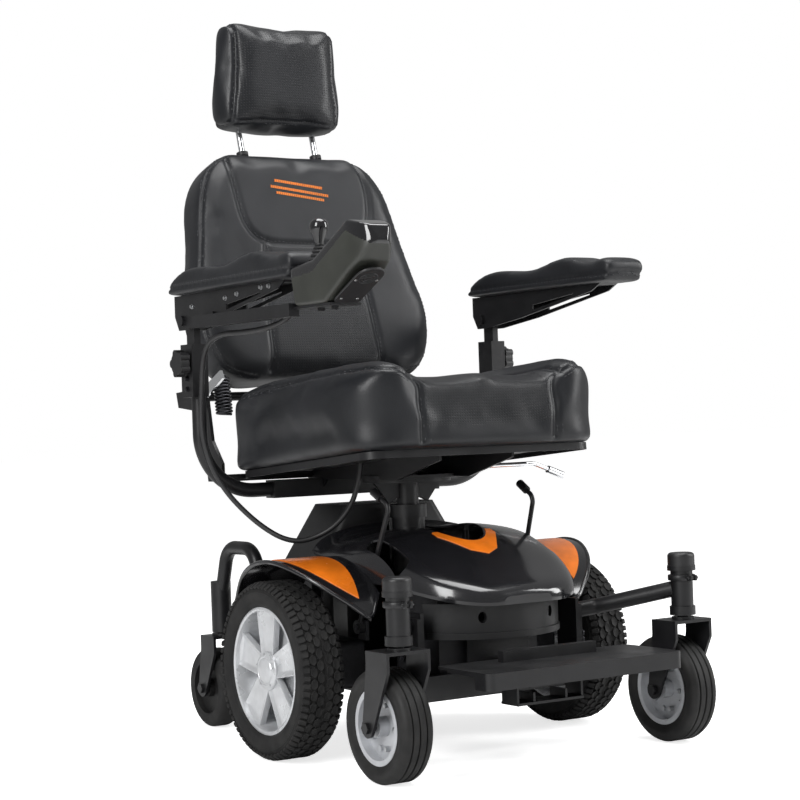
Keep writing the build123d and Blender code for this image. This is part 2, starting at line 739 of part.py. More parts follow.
with BuildPart() as seat_frame:
    with BuildSketch(Plane(origin=(0, post_y, turntable_z))):
        Circle(80)
        Circle(king_pin_radius + run_fit, mode=Mode.SUBTRACT)
    extrude(amount=plate_sheet)
    for sx in (-1, 1):
        with BuildSketch(x_plane(sx * frame_plate_x - 2.5)):
            with BuildLine():
                Polyline((axle_y - 165, pan_under(axle_y - 165) + 1),
                         (axle_y + 254, pan_under(axle_y + 254) + 1),
                         (axle_y + 254, beam_z + 15), (axle_y + 233, beam_z + 15),
                         (axle_y + 233, beam_z), (axle_y + 203, beam_z),
                         (axle_y + 190, turntable_z), (axle_y - 40, turntable_z),
                         (axle_y - 165, pan_under(axle_y - 165) - 14), close=True)
            make_face()
        extrude(amount=5)
    # pan, its down-turned rim
    pan = Plane(origin=(0, (pan_front_y + pan_rear_y) / 2,
                        pan_under((pan_front_y + pan_rear_y) / 2)),
                x_dir=(1, 0, 0), z_dir=(0, math.sin(math.radians(seat_tilt)),
                                        math.cos(math.radians(seat_tilt))))
    with BuildSketch(pan):
        RectangleRounded(2 * pan_half_width, pan_rear_y - pan_front_y, 30)
    extrude(amount=pan_thickness)
    with BuildSketch(pan.offset(-8)):
        RectangleRounded(2 * pan_half_width, pan_rear_y - pan_front_y, 30)
        RectangleRounded(2 * pan_half_width - 6, pan_rear_y - pan_front_y - 6, 27,
                         mode=Mode.SUBTRACT)
    extrude(amount=9)
    # sleeve beam for the armrest tubes
    with Locations((0, arm_y, beam_z)):
        Box(344, 31, 31)
    with BuildSketch(x_plane(-180, arm_y, beam_z)):
        Circle(j_tube_radius + slide_fit)
    extrude(amount=360, mode=Mode.SUBTRACT)
    # rear channel and the backrest's hinge ears
    with Locations((0, axle_y + 246, pan_under(axle_y + 246) - 5)):
        Box(2 * (ear_x + ear_sheet), 16, 12)
    for sx in (-1, 1):
        low = pan_under(axle_y + 246)
        with BuildSketch(span_plane(sx, ear_x)):
            with BuildLine():
                Polyline((axle_y + 238, low - 11), (axle_y + 290, low - 11),
                         (axle_y + 318, back_pivot_z - 6), (axle_y + 312, back_pivot_z + 14),
                         (axle_y + 288, back_pivot_z + 14), (axle_y + 272, low + 60),
                         (axle_y + 238, low + 20), close=True)
            make_face()
            with Locations((back_pivot_y, back_pivot_z)):
                Circle(pivot_pin_radius + run_fit, mode=Mode.SUBTRACT)
        extrude(amount=sx * ear_sheet)
    # swivel lever's bracket and pin
    with Locations((84, lever_y, turntable_top + 2)):
        Box(26, 20, 4)
    with BuildSketch(Plane(origin=(lever_pin_x, lever_y, turntable_top))):
        Circle(swivel_pin_radius)
    extrude(amount=lever_z + 6 - turntable_top)
    with BuildSketch(Plane(origin=(0, post_y, turntable_z))):
        Circle(king_pin_radius + run_fit)
    extrude(amount=14, mode=Mode.SUBTRACT)
save(seat_frame, "seat_frame")

with BuildPart() as swivel_lever:
    with BuildSketch(Plane(origin=(lever_pin_x, lever_y, turntable_top + 4 + gap))):
        Circle(9)
    extrude(amount=9)
    with BuildLine() as rod:
        FilletPolyline((lever_pin_x + 5, lever_y, lever_z - 1), (230, lever_y, lever_z - 1),
                       (292, lever_y, lever_z - 24), radius=[40])
    with BuildSketch(Plane(origin=rod.line @ 0, z_dir=rod.line % 0)):
        Circle(4)
    sweep()
    with BuildSketch(Plane(origin=rod.line @ 1, z_dir=-(rod.line % 1))):
        Circle(6.5)
    extrude(amount=34)
    with BuildSketch(Plane(origin=(lever_pin_x, lever_y, turntable_top))):
        Circle(swivel_pin_radius + run_fit)
    extrude(amount=20, mode=Mode.SUBTRACT)
save(swivel_lever, "swivel_lever")

with BuildPart() as seat_cushion:
    seat_mid_y = (cushion_front_y + cushion_rear_y) / 2
    with BuildSketch(Plane(origin=(0, seat_mid_y, 380))):
        RectangleRounded(2 * cushion_half_width, cushion_rear_y - cushion_front_y, 60)
    extrude(amount=320)
    pan_rise = pan_thickness / math.cos(math.radians(seat_tilt))
    section = Plane(origin=(0, cushion_rear_y, pan_under(cushion_rear_y) + pan_rise),
                    x_dir=(1, 0, 0), z_dir=(0, -math.cos(math.radians(seat_tilt)),
                                            math.sin(math.radians(seat_tilt))))
    with BuildSketch(section.offset(-20)):
        with BuildLine():
            half = cushion_half_width
            crown = Spline((-half, 90), (-half + 14, 130), (-half + 50, 140), (-half + 100, 118),
                           (0, 112), (half - 100, 118), (half - 50, 140), (half - 14, 130),
                           (half, 90))
            Polyline(crown @ 1, (half, 12), (half - 14, 0), (-half + 14, 0), (-half, 12),
                     crown @ 0)
        make_face()
    extrude(amount=540, mode=Mode.INTERSECT)
save(seat_cushion, "seat_cushion")

# ================================================================ armrests
for side, sx in SIDES:
    with BuildPart() as arm_support:
        with BuildLine() as route:
            FilletPolyline((sx * 62, arm_y, beam_z), (sx * j_tube_x, arm_y, beam_z),
                           (sx * j_tube_x, arm_y, receiver_bottom_z), radius=[j_bend])
        with BuildSketch(Plane(origin=route.line @ 0, z_dir=route.line % 0)):
            Circle(j_tube_radius)
            Circle(j_tube_radius - 2.5, mode=Mode.SUBTRACT)
        sweep()
        with Locations((sx * arm_x, arm_y, (receiver_bottom_z + receiver_top_z) / 2)):
            Box(receiver_width, receiver_depth, receiver_top_z - receiver_bottom_z)
        with Locations((sx * arm_x, arm_y, (receiver_bottom_z + receiver_top_z) / 2 + 4)):
            Box(arm_post_width + 2 * gap, arm_post_depth + 2 * gap,
                receiver_top_z - receiver_bottom_z, mode=Mode.SUBTRACT)
        with BuildSketch(span_plane(sx, arm_x, arm_y, knob_z)):
            Circle(5 + run_fit)
        extrude(amount=sx * 30, mode=Mode.SUBTRACT)
    save(arm_support, f"arm_support_{side}")

    knob_x = arm_x + receiver_width / 2 + 4
    with BuildPart() as clamp_knob:
        with BuildSketch(span_plane(sx, knob_x, arm_y, knob_z)):
            Circle(knob_radius - 5)
            with PolarLocations(knob_radius - 7, 5):
                Circle(7)
        extrude(amount=sx * 16)
        with BuildSketch(span_plane(sx, arm_x + arm_post_width / 2 + 1, arm_y, knob_z)):
            Circle(5)
        extrude(amount=sx * 20)
    save(clamp_knob, f"clamp_knob_{side}")

    with BuildPart() as armrest_post:
        with BuildSketch(span_plane(sx, arm_x - arm_post_width / 2)):
            with Locations((arm_y, (receiver_bottom_z + 6 + pivot_z) / 2)):
                Rectangle(arm_post_depth, pivot_z - receiver_bottom_z - 6)
            with Locations((arm_y, pivot_z)):
                Circle(arm_post_depth / 2)
                Circle(hinge_pin_radius + run_fit, mode=Mode.SUBTRACT)
        extrude(amount=sx * arm_post_width)
    save(armrest_post, f"armrest_post_{side}")

    with BuildPart() as armrest_bracket:
        with BuildSketch(span_plane(sx, arm_x - channel_half_width)):
            with BuildLine():
                Polyline((axle_y + 246, channel_top_z), (axle_y + 246, 728), (axle_y + 232, 704),
                         (axle_y + 204, 704), (axle_y + 94, 717), (axle_y - 111, 751),
                         (axle_y - 136, channel_top_z), close=True)
            make_face()
            with BuildLine():
                Polyline((axle_y + 60, 738), (axle_y + 60, 729), (axle_y - 60, 748),
                         (axle_y - 60, 750), close=True)
            make_face(mode=Mode.SUBTRACT)
        extrude(amount=sx * 2 * channel_half_width)
        with Locations((sx * arm_x, axle_y + 55, 720)):
            Box(2 * (channel_half_width - channel_sheet), 420, 2 * (channel_top_z - 723),
                mode=Mode.SUBTRACT)
        with BuildSketch(span_plane(sx, arm_x - channel_half_width - 5, arm_y, pivot_z)):
            Circle(hinge_pin_radius)
        extrude(amount=sx * 2 * (channel_half_width + 5))
        for head in (-1, 1):
            head_x = arm_x + head * channel_half_width
            with BuildSketch(x_plane(sx * head_x, arm_y, pivot_z)):
                Circle(9)
            extrude(amount=sx * head * 5)
    save(armrest_bracket, f"armrest_bracket_{side}")

    with BuildPart() as armrest_pad:
        with BuildSketch(span_plane(sx, arm_x - pad_half_width)):
            with BuildLine():
                top = Spline((pad_rear_y, channel_top_z + 16), (pad_rear_y - 30, channel_top_z + 32),
                             (axle_y + 40, channel_top_z + 35), (axle_y - 70, channel_top_z + 46),
                             (axle_y - 135, channel_top_z + 36), (pad_front_y + 6, channel_top_z + 38),
                             (pad_front_y, channel_top_z + 24))
                Polyline(top @ 1, (pad_front_y + 12, channel_top_z), (pad_rear_y, channel_top_z),
                         top @ 0)
            make_face()
        extrude(amount=sx * 2 * pad_half_width)
        side_edges = armrest_pad.edges().filter_by(Plane.YZ).group_by(Axis.Z)[-1]
        fillet(side_edges, 8)
    save(armrest_pad, f"armrest_pad_{side}")

# ================================================================ backrest
with BuildPart() as back_cushion:
    with BuildSketch(back_plane(-back_thickness / 2)):
        with BuildLine():
            right_edge = Spline((-150, 0), (-222, 30), (-250, 95), (-229, 265), (-188, 412),
                                (-130, back_length))
            left_edge = Spline((150, 0), (222, 30), (250, 95), (229, 265), (188, 412),
                               (130, back_length))
            Line(right_edge @ 0, left_edge @ 0)
            Line(right_edge @ 1, left_edge @ 1)
        make_face()
    extrude(amount=-back_thickness)
    fillet(back_cushion.edges().filter_by(back_plane(0)), 18)
    for sx in (-1, 1):
        with BuildSketch(Plane(origin=back_point(back_length - 110, 0, sx * headrest_x),
                               z_dir=back_plane(0).y_dir)):
            Circle(headrest_rod_radius + slide_fit)
        extrude(amount=130, mode=Mode.SUBTRACT)
save(back_cushion, "back_cushion")

back_tube_radius = 10.0
tube_n = back_thickness / 2 + back_tube_radius + 1
side_plate_x = ear_x + ear_sheet + 2

with BuildPart() as back_frame:
    for sx in (-1, 1):
        with BuildSketch(Plane(origin=back_point(-8, tube_n, sx * 170),
                               z_dir=back_plane(0).y_dir)):
            Circle(back_tube_radius)
        extrude(amount=360)
        with BuildSketch(span_plane(sx, side_plate_x)):
            with BuildLine():
                Polyline((back_pivot_y - 14, back_pivot_z - 14), (back_pivot_y + 14, back_pivot_z - 18),
                         back_point(-14, tube_n + 10)[1:], back_point(14, tube_n + 10)[1:],
                         (back_pivot_y + 6, back_pivot_z + 22), (back_pivot_y - 14, back_pivot_z + 14),
                         close=True)
            make_face()
        extrude(amount=sx * 4)
        with BuildSketch(span_plane(sx, ear_x - 2, back_pivot_y, back_pivot_z)):
            Circle(pivot_pin_radius)
        extrude(amount=sx * 24)
    for s in (2, 335):
        reach = side_plate_x + 2 if s == 2 else 170
        with BuildSketch(x_plane(-reach, *back_point(s, tube_n)[1:])):
            Circle(back_tube_radius - 2)
        extrude(amount=2 * reach)
    with BuildSketch(back_plane(back_thickness / 2)):
        with Locations((0, 205)):
            RectangleRounded(364, 330, 40)
    extrude(amount=-4)
save(back_frame, "back_frame")

with BuildPart() as recline_lever:
    lever_at = side_plate_x + 4 + gap
    with BuildSketch(span_plane(-1, lever_at)):
        with Locations((back_pivot_y, back_pivot_z)):
            Circle(13)
        with BuildLine():
            Polyline((back_pivot_y - 4, back_pivot_z - 9), (back_pivot_y + 6, back_pivot_z + 9),
                     (back_pivot_y - 88, back_pivot_z + 50), (back_pivot_y - 96, back_pivot_z + 36),
                     close=True)
        make_face()
        with Locations((back_pivot_y, back_pivot_z)):
            Circle(pivot_pin_radius + run_fit, mode=Mode.SUBTRACT)
    extrude(amount=-5)
save(recline_lever, "recline_lever")

up = back_plane(0).y_dir
with BuildPart() as headrest_guides:
    for sx in (-1, 1):
        with BuildSketch(Plane(origin=back_point(back_length, 0, sx * headrest_x), z_dir=up)):
            Circle(11)
            Circle(headrest_rod_radius + slide_fit, mode=Mode.SUBTRACT)
        extrude(amount=7)
save(headrest_guides, "headrest_guides")

rod_reach = 150.0
with BuildPart() as headrest_posts:
    for sx in (-1, 1):
        with BuildSketch(Plane(origin=back_point(back_length - 100, 0, sx * headrest_x), z_dir=up)):
            Circle(headrest_rod_radius)
        extrude(amount=rod_reach + 40)
save(headrest_posts, "headrest_posts")

with BuildPart() as headrest_cushion:
    with BuildSketch(Plane(origin=(0, headrest_y, headrest_bottom_z))):
        RectangleRounded(274, headrest_thickness, 38)
    with BuildSketch(Plane(origin=(0, headrest_y - 8, headrest_top_z))):
        RectangleRounded(246, headrest_thickness - 16, 34)
    loft()
    fillet(headrest_cushion.edges().group_by(Axis.Z)[-1], 20)
    for sx in (-1, 1):
        with BuildSketch(Plane(origin=back_point(back_length - 100, 0, sx * headrest_x), z_dir=up)):
            Circle(headrest_rod_radius)
        extrude(amount=rod_reach + 40, mode=Mode.SUBTRACT)
save(headrest_cushion, "headrest_cushion")

# ================================================================ joystick
pod_floor_z = 717.5
with BuildPart() as joystick_mount:
    with Locations((mount_x, axle_y - 22, mount_z)):
        Box(mount_width, 324, 20)
    with Locations((mount_x + 11, axle_y + 118, mount_z + 6)):
        Box(4, 36, 20)
    with Locations((pod_x, axle_y - 236, pod_floor_z - 2)):
        Box(54, 112, 4)
    for bolt_y in (-222, -262):
        with BuildSketch(Plane(origin=(pod_x, axle_y + bolt_y, pod_floor_z - 9))):
            RegularPolygon(6, 6)
        extrude(amount=6)
save(joystick_mount, "joystick_mount")

with BuildPart() as joystick_housing:
    with BuildSketch(x_plane(pod_x - pod_half_width)):
        with BuildLine():
            Polyline((axle_y - 183, 776), (axle_y - 196, pod_floor_z), (axle_y - 284, pod_floor_z),
                     (axle_y - 376, 772), (axle_y - 402, 800), (axle_y - 392, 824),
                     (axle_y - 352, 834), (axle_y - 252, 784), close=True)
        make_face()
    extrude(amount=2 * pod_half_width)
    fillet(joystick_housing.edges().filter_by(Axis.X), 7)
    fillet(joystick_housing.faces().sort_by(Axis.X)[0].edges(), 5)
    fillet(joystick_housing.faces().sort_by(Axis.X)[-1].edges(), 5)
    with BuildSketch(Plane(origin=(pod_x, stick_y, 750))):
        Circle(19)
    extrude(amount=60, mode=Mode.SUBTRACT)
    with BuildSketch(x_plane(pod_x - 23, stick_y, stick_z - 12)):
        Circle(2.5 + run_fit)
    extrude(amount=46, mode=Mode.SUBTRACT)
    with Locations((pod_x, axle_y - 190, 735)):
        Cylinder(cable_radius + 3, 14, rotation=(90, 0, 0), mode=Mode.ADD)
save(joystick_housing, "joystick_housing")

gimbal_z = stick_z - 12
ring_radius = 13.0
cross_pin_radius = 2.0
with BuildPart() as joystick_gimbal:
    with BuildSketch(Plane(origin=(pod_x, stick_y, gimbal_z - 3))):
        Circle(ring_radius)
        Circle(ring_radius - 3, mode=Mode.SUBTRACT)
    extrude(amount=6)
    for pin_start in (-22, ring_radius - 1.5):
        with BuildSketch(x_plane(pod_x + pin_start, stick_y, gimbal_z)):
            Circle(2.5)
        extrude(amount=23.5 - ring_radius)
    with BuildSketch(Plane(origin=(pod_x, stick_y + ring_radius - 1.5, gimbal_z),
                           x_dir=(1, 0, 0), z_dir=(0, -1, 0))):
        Circle(cross_pin_radius)
    extrude(amount=2 * ring_radius - 3)
save(joystick_gimbal, "joystick_gimbal")

with BuildPart() as joystick_knob:
    with BuildSketch(Plane(origin=(pod_x, stick_y, 0), x_dir=(1, 0, 0), z_dir=(0, -1, 0))):
        with BuildLine():
            rod_top = Polyline((0, gimbal_z - 5), (4.5, gimbal_z - 5), (4, 812))
            bulb = Spline(rod_top @ 1, (9, 816), (14.5, 830), (13, 842), (0, 848))
            Line(bulb @ 1, rod_top @ 0)
        make_face()
    revolve(axis=Axis((pod_x, stick_y, 0), (0, 0, 1)))
    with BuildSketch(Plane(origin=(pod_x, stick_y + 10, gimbal_z), x_dir=(1, 0, 0),
                           z_dir=(0, -1, 0))):
        Circle(cross_pin_radius + run_fit)
    extrude(amount=20, mode=Mode.SUBTRACT)
save(joystick_knob, "joystick_knob")

with BuildPart() as joystick_boot:
    with BuildSketch(Plane(origin=(pod_x, stick_y, 0), x_dir=(1, 0, 0), z_dir=(0, -1, 0))):
        with BuildLine():
            Polyline((4.5, 811), (7, 811), (9, 804), (18.5, 786), (18.5, 776), (16, 776),
                     (16, 784), (6.5, 803), (4.5, 806), close=True)
        make_face()
    revolve(axis=Axis((pod_x, stick_y, 0), (0, 0, 1)))
save(joystick_boot, "joystick_boot")

CABLE = ((-318, axle_y - 180, 735), (-320, axle_y - 130, 704), (-320, axle_y - 60, 692),
         (-322, axle_y + 20, 690), (-324, axle_y + 100, 692), (-322, axle_y + 160, 672),
         (-314, axle_y + 190, 606), (-314, axle_y + 197, 520), (-286, axle_y + 192, 440),
         (-236, axle_y + 156, 372), (-190, axle_y + 116, 336), (-140, axle_y + 92, 350),
         (-112, axle_y + 66, 382), (-100, axle_y + 46, 424), (-94, axle_y + 42, 469))
runs = [math.dist(a, b) for a, b in zip(CABLE, CABLE[1:])]
turns = [(Vector(*b) - Vector(*a)).get_angle(Vector(*c) - Vector(*b))
         for a, b, c in zip(CABLE, CABLE[1:], CABLE[2:])]
radii = [0.45 * min(p, q) / math.tan(math.radians(turn) / 2)
         for p, q, turn in zip(runs, runs[1:], turns)]
with BuildPart() as joystick_cable:
    with BuildLine() as lead:
        FilletPolyline(*CABLE, radius=radii)
    with BuildSketch(Plane(origin=lead.line @ 0, z_dir=lead.line % 0)):
        Circle(cable_radius)
    sweep()
save(joystick_cable, "joystick_cable")
print("cable runs", [round(r) for r in runs])
print("cable turns", [round(a) for a in turns])
print("cable radii", [round(r) for r in radii])
cable_length = sum(edge.length for edge in lead.edges())
print("cable length", round(cable_length), "volume ratio",
      round(joystick_cable.part.volume / (math.pi * cable_radius ** 2 * cable_length), 4))
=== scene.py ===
"""Looks for the power wheelchair: padded seat, treaded tyres, shroud, joystick and fittings."""

import math

import bpy
import numpy as np
from mathutils import Matrix, Vector
from mathutils.kdtree import KDTree


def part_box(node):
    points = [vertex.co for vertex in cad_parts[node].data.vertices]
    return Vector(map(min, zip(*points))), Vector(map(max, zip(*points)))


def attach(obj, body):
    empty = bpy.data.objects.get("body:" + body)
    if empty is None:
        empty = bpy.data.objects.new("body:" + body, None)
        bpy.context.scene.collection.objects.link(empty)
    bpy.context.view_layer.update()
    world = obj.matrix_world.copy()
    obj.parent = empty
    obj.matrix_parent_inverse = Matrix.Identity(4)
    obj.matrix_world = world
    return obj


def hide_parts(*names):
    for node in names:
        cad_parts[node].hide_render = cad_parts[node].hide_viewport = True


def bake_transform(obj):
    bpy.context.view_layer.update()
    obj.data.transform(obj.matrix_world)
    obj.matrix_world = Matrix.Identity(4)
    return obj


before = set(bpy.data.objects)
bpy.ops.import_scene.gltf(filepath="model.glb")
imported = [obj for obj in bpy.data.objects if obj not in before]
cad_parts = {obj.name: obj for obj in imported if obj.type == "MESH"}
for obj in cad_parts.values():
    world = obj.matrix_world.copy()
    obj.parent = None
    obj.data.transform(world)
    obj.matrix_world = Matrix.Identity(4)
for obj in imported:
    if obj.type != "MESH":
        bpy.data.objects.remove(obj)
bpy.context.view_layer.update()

AXLE_Y = -0.031           # drive-axle line
SIDES = (("right", -1), ("left", 1))
RECLINE = math.radians(15.5)
SEAT_TILT = math.radians(4.5)
AXES = {"X": (Vector((1, 0, 0)), Vector((0, 0, 1))),
        "Y": (Vector((0, 1, 0)), Vector((0, 0, 1))),
        "Z": (Vector((0, 0, 1)), Vector((1, 0, 0)))}


def at(x, y, z):
    """The point x, y behind the drive axle and z above the floor, given in millimetres."""
    return Vector((x / 1000, AXLE_Y + y / 1000, z / 1000))


def on_back(x, s, n):
    """The point s up the backrest and n behind the middle of its thickness, in millimetres."""
    return at(x, 326.5 + s * math.sin(RECLINE) + n * math.cos(RECLINE),
              605 + s * math.cos(RECLINE) - n * math.sin(RECLINE))


# ---------------------------------------------------------------- workshop
def only(piece):
    bpy.ops.object.select_all(action="DESELECT")
    piece.select_set(True)
    bpy.context.view_layer.objects.active = piece


def settled(piece, name):
    """Puts the place of a new piece into its mesh and gives it its name."""
    only(piece)
    bpy.ops.object.transform_apply(location=True, rotation=True, scale=True)
    piece.name = piece.data.name = name
    return piece


def finished(piece, kind, **values):
    """Adds a modifier and applies it."""
    only(piece)
    work = piece.modifiers.new("work", kind)
    for key, value in values.items():
        setattr(work, key, value)
    bpy.ops.object.modifier_apply(modifier=work.name)
    return piece


def smoothed(piece, angle=40):
    only(piece)
    bpy.ops.object.shade_smooth_by_angle(angle=math.radians(angle))
    return piece


def softened(piece, width, segments=2):
    """Rounds the edges of a hard piece."""
    finished(piece, "BEVEL", width=width, segments=segments, limit_method="ANGLE",
             angle_limit=math.radians(30))
    return smoothed(piece)


def block(name, centre, size, edge=0.001, segments=2, turn=(0, 0, 0)):
    """A bar or plate with rounded edges, its size in millimetres."""
    bpy.ops.mesh.primitive_cube_add(size=1, location=centre, rotation=turn)
    piece = bpy.context.object
    piece.scale = Vector(size) / 1000
    return softened(settled(piece, name), edge, segments)


def rod(name, start, end, radius, sides=24, edge=0.0006):
    """A round bar from start to end."""
    run = end - start
    bpy.ops.mesh.primitive_cylinder_add(vertices=sides, radius=radius, depth=run.length,
                                        location=(start + end) / 2,
                                        rotation=run.to_track_quat("Z", "Y").to_euler())
    return softened(settled(bpy.context.object, name), edge)


def turned(name, profile, centre, axis="Z", steps=48, closed=False):
    """A turned piece: its profile is (radius, height along the axis) in millimetres."""
    along, out = AXES[axis]
    points = [centre + along * (h / 1000) + out * (r / 1000) for r, h in profile]
    links = [(i, i + 1) for i in range(len(points) - 1)]
    if closed:
        links.append((len(points) - 1, 0))
    mesh = bpy.data.meshes.new(name)
    mesh.from_pydata(points, links, [])
    piece = bpy.data.objects.new(name, mesh)
    bpy.context.collection.objects.link(piece)
    only(piece)
    bpy.ops.object.mode_set(mode="EDIT")
    bpy.ops.mesh.select_all(action="SELECT")
    bpy.ops.mesh.spin(steps=steps, angle=2 * math.pi, center=centre, axis=along)
    bpy.ops.mesh.select_all(action="SELECT")
    bpy.ops.mesh.remove_doubles(threshold=0.00002)
    bpy.ops.mesh.normals_make_consistent(inside=False)
    bpy.ops.object.mode_set(mode="OBJECT")
    return smoothed(piece)


def faces_picked(piece, test):
    """Opens the piece in edit mode with only the faces that pass the test selected."""
    only(piece)
    bpy.ops.object.mode_set(mode="EDIT")
    bpy.ops.mesh.select_mode(type="FACE")
    bpy.ops.mesh.select_all(action="DESELECT")
    bpy.ops.object.mode_set(mode="OBJECT")
    for face in piece.data.polygons:
        face.select = test(face)
    bpy.ops.object.mode_set(mode="EDIT")


def copied(piece, name, change):
    """A copy with its own mesh, moved, turned or mirrored by the matrix."""
    twin = piece.copy()
    twin.data = piece.data.copy()
    twin.data.transform(change)
    if change.determinant() < 0:
        twin.data.flip_normals()
    twin.name = twin.data.name = name
    bpy.context.collection.objects.link(twin)
    return twin


def joined(name, pieces):
    bpy.ops.object.select_all(action="DESELECT")
    for piece in pieces:
        piece.select_set(True)
    bpy.context.view_layer.objects.active = pieces[0]
    if len(pieces) > 1:
        bpy.ops.object.join()
    pieces[0].name = pieces[0].data.name = name
    return pieces[0]


def turned_about(centre, angle, axis):
    """The matrix that turns by an angle about an axis through centre."""
    return (Matrix.Translation(centre) @ Matrix.Rotation(angle, 4, axis)
            @ Matrix.Translation(-centre))


MIRROR = Matrix.Scale(-1, 4, Vector((1, 0, 0)))


def ringed(name, piece, centre, axis, count):
    """The piece repeated evenly round an axis, joined to one piece."""
    copies = [copied(piece, name, turned_about(centre, 2 * math.pi * i / count, axis))
              for i in range(1, count)]
    return joined(name, [piece] + copies)


def fitted(piece, finish, body, slot, *nodes):
    """Gives a piece its finish and its body; it stands for the nodes named. The slot is not
    used.
    """
    piece.data.materials.clear()
    piece.data.materials.append(finish)
    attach(piece, body)
    if nodes:
        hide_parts(*nodes)
    return piece


def both_sides(piece, stem, finish, body, slot, nodes=()):
    """Fits a left-hand piece and its mirror image on the right."""
    twin = copied(piece, f"{stem}_right", MIRROR)
    piece.name = piece.data.name = f"{stem}_left"
    for side, made in (("left", piece), ("right", twin)):
        fitted(made, finish, body.format(side=side), slot,
               *[node.format(side=side) for node in nodes])


# ---------------------------------------------------------------- finishes
def node(material, kind, **inputs):
    made = material.node_tree.nodes.new(kind)
    for key, value in inputs.items():
        made.inputs[key.replace("_", " ")].default_value = value
    return made


def wire(material, source, target):
    material.node_tree.links.new(source, target)


def shader_of(material):
    return material.node_tree.nodes["Principled BSDF"]


def finish(name, colour, roughness, metallic=0.0, coat=0.0, specular=0.5):
    material = bpy.data.materials.new(name)
    material.use_nodes = True
    shader = shader_of(material)
    shader.inputs["Base Color"].default_value = (*colour, 1)
    shader.inputs["Roughness"].default_value = roughness
    shader.inputs["Metallic"].default_value = metallic
    shader.inputs["Coat Weight"].default_value = coat
    shader.inputs["Coat Roughness"].default_value = 0.08
    shader.inputs["Specular IOR Level"].default_value = specular
    return material


def place_of(material):
    return node(material, "ShaderNodeTexCoord").outputs["Object"]


def cloudy(material, scale, detail=4.0):
    """Soft noise over the piece, used for tint, gloss or grain."""
    noise = node(material, "ShaderNodeTexNoise", Scale=scale, Detail=detail)
    wire(material, place_of(material), noise.inputs["Vector"])
    return noise.outputs["Fac"]


def tinted(material, scale, dark, light):
    """Colour that wanders between two tints."""
    ramp = node(material, "ShaderNodeValToRGB")
    ramp.color_ramp.elements[0].position = 0.3
    ramp.color_ramp.elements[1].position = 0.7
    ramp.color_ramp.elements[0].color = (*dark, 1)
    ramp.color_ramp.elements[1].color = (*light, 1)
    wire(material, cloudy(material, scale), ramp.inputs["Fac"])
    wire(material, ramp.outputs["Color"], shader_of(material).inputs["Base Color"])
    return ramp


def uneven_gloss(material, scale, low, high):
    """Roughness that wanders between two values."""
    spread = node(material, "ShaderNodeMapRange", From_Min=0.3, From_Max=0.7, To_Min=low,
                  To_Max=high)
    wire(material, cloudy(material, scale), spread.inputs["Value"])
    wire(material, spread.outputs["Result"], shader_of(material).inputs["Roughness"])
    return spread


def embossed(material, height, strength, depth):
    """Adds a bump from a height to what the shader already has."""
    bump = node(material, "ShaderNodeBump", Strength=strength, Distance=depth)
    normal = shader_of(material).inputs["Normal"]
    if normal.is_linked:
        wire(material, normal.links[0].from_socket, bump.inputs["Normal"])
    wire(material, height, bump.inputs["Height"])
    wire(material, bump.outputs["Normal"], normal)


def pebbled(material, scale, strength, depth):
    """Hide-like grain."""
    cells = node(material, "ShaderNodeTexVoronoi", Scale=scale)
    cells.feature = "SMOOTH_F1"
    wire(material, place_of(material), cells.inputs["Vector"])
    embossed(material, cells.outputs["Distance"], strength, depth)


def leatherette(name, low, high, across=(1, 0, 0), along=(0, 1, 1)):
    """Black leatherette with fine grain and punched holes where the piece is marked for them;
    inside the holes the colour is painted near black as painted shade.
    """
    material = finish(name, (0.01, 0.011, 0.013), 0.4, specular=0.38)
    tint = tinted(material, 9, (0.007, 0.0076, 0.0092), (0.013, 0.0138, 0.0162))
    uneven_gloss(material, 14, low, high)
    pebbled(material, 620, 0.3, 0.0004)
    embossed(material, cloudy(material, 22, 3.0), 0.35, 0.0012)
    where = place_of(material)
    rows = node(material, "ShaderNodeCombineXYZ")
    for direction, target in ((across, "X"), (along, "Y")):
        measure = node(material, "ShaderNodeVectorMath")
        measure.operation = "DOT_PRODUCT"
        measure.inputs[1].default_value = direction
        wire(material, where, measure.inputs[0])
        wire(material, measure.outputs["Value"], rows.inputs[target])
    holes = node(material, "ShaderNodeTexVoronoi", Scale=205.0, Randomness=0.0)
    holes.voronoi_dimensions = "2D"
    wire(material, rows.outputs["Vector"], holes.inputs["Vector"])
    rim = node(material, "ShaderNodeMapRange", From_Min=0.15, From_Max=0.24, To_Min=1.0,
               To_Max=0.0)
    wire(material, holes.outputs["Distance"], rim.inputs["Value"])
    marked = material.node_tree.nodes.new("ShaderNodeAttribute")
    marked.attribute_name = "punched"
    punched = node(material, "ShaderNodeMath")
    punched.operation = "MULTIPLY"
    wire(material, rim.outputs["Result"], punched.inputs[0])
    wire(material, marked.outputs["Fac"], punched.inputs[1])
    embossed(material, punched.outputs["Value"], 0.7, -0.0007)
    # Painted shade: the punched holes are coloured near black, standing in for the shade that
    # falls inside them.
    shade = material.node_tree.nodes.new("ShaderNodeMix")
    shade.data_type = "RGBA"
    shade.inputs["B"].default_value = (0.001, 0.001, 0.001, 1)
    for socket in shade.inputs:
        if socket.name == "B" and socket.type == "RGBA":
            socket.default_value = (0.001, 0.001, 0.001, 1)
    colours = [s for s in shade.inputs if s.name == "A" and s.type == "RGBA"]
    wire(material, tint.outputs["Color"], colours[0])
    wire(material, punched.outputs["Value"], shade.inputs[0])
    result = [s for s in shade.outputs if s.type == "RGBA"][0]
    wire(material, result, shader_of(material).inputs["Base Color"])
    return material


def moulded(name, colour, low, high, grain=900, strength=0.2, depth=0.0002, **shader):
    """Moulded plastic or rubber: an even colour, a fine texture and slight marks of use."""
    material = finish(name, colour, low, **shader)
    tinted(material, 30, tuple(c * 0.85 for c in colour), tuple(c * 1.15 for c in colour))
    uneven_gloss(material, 18, low, high)
    if strength:
        pebbled(material, grain, strength, depth)
    return material


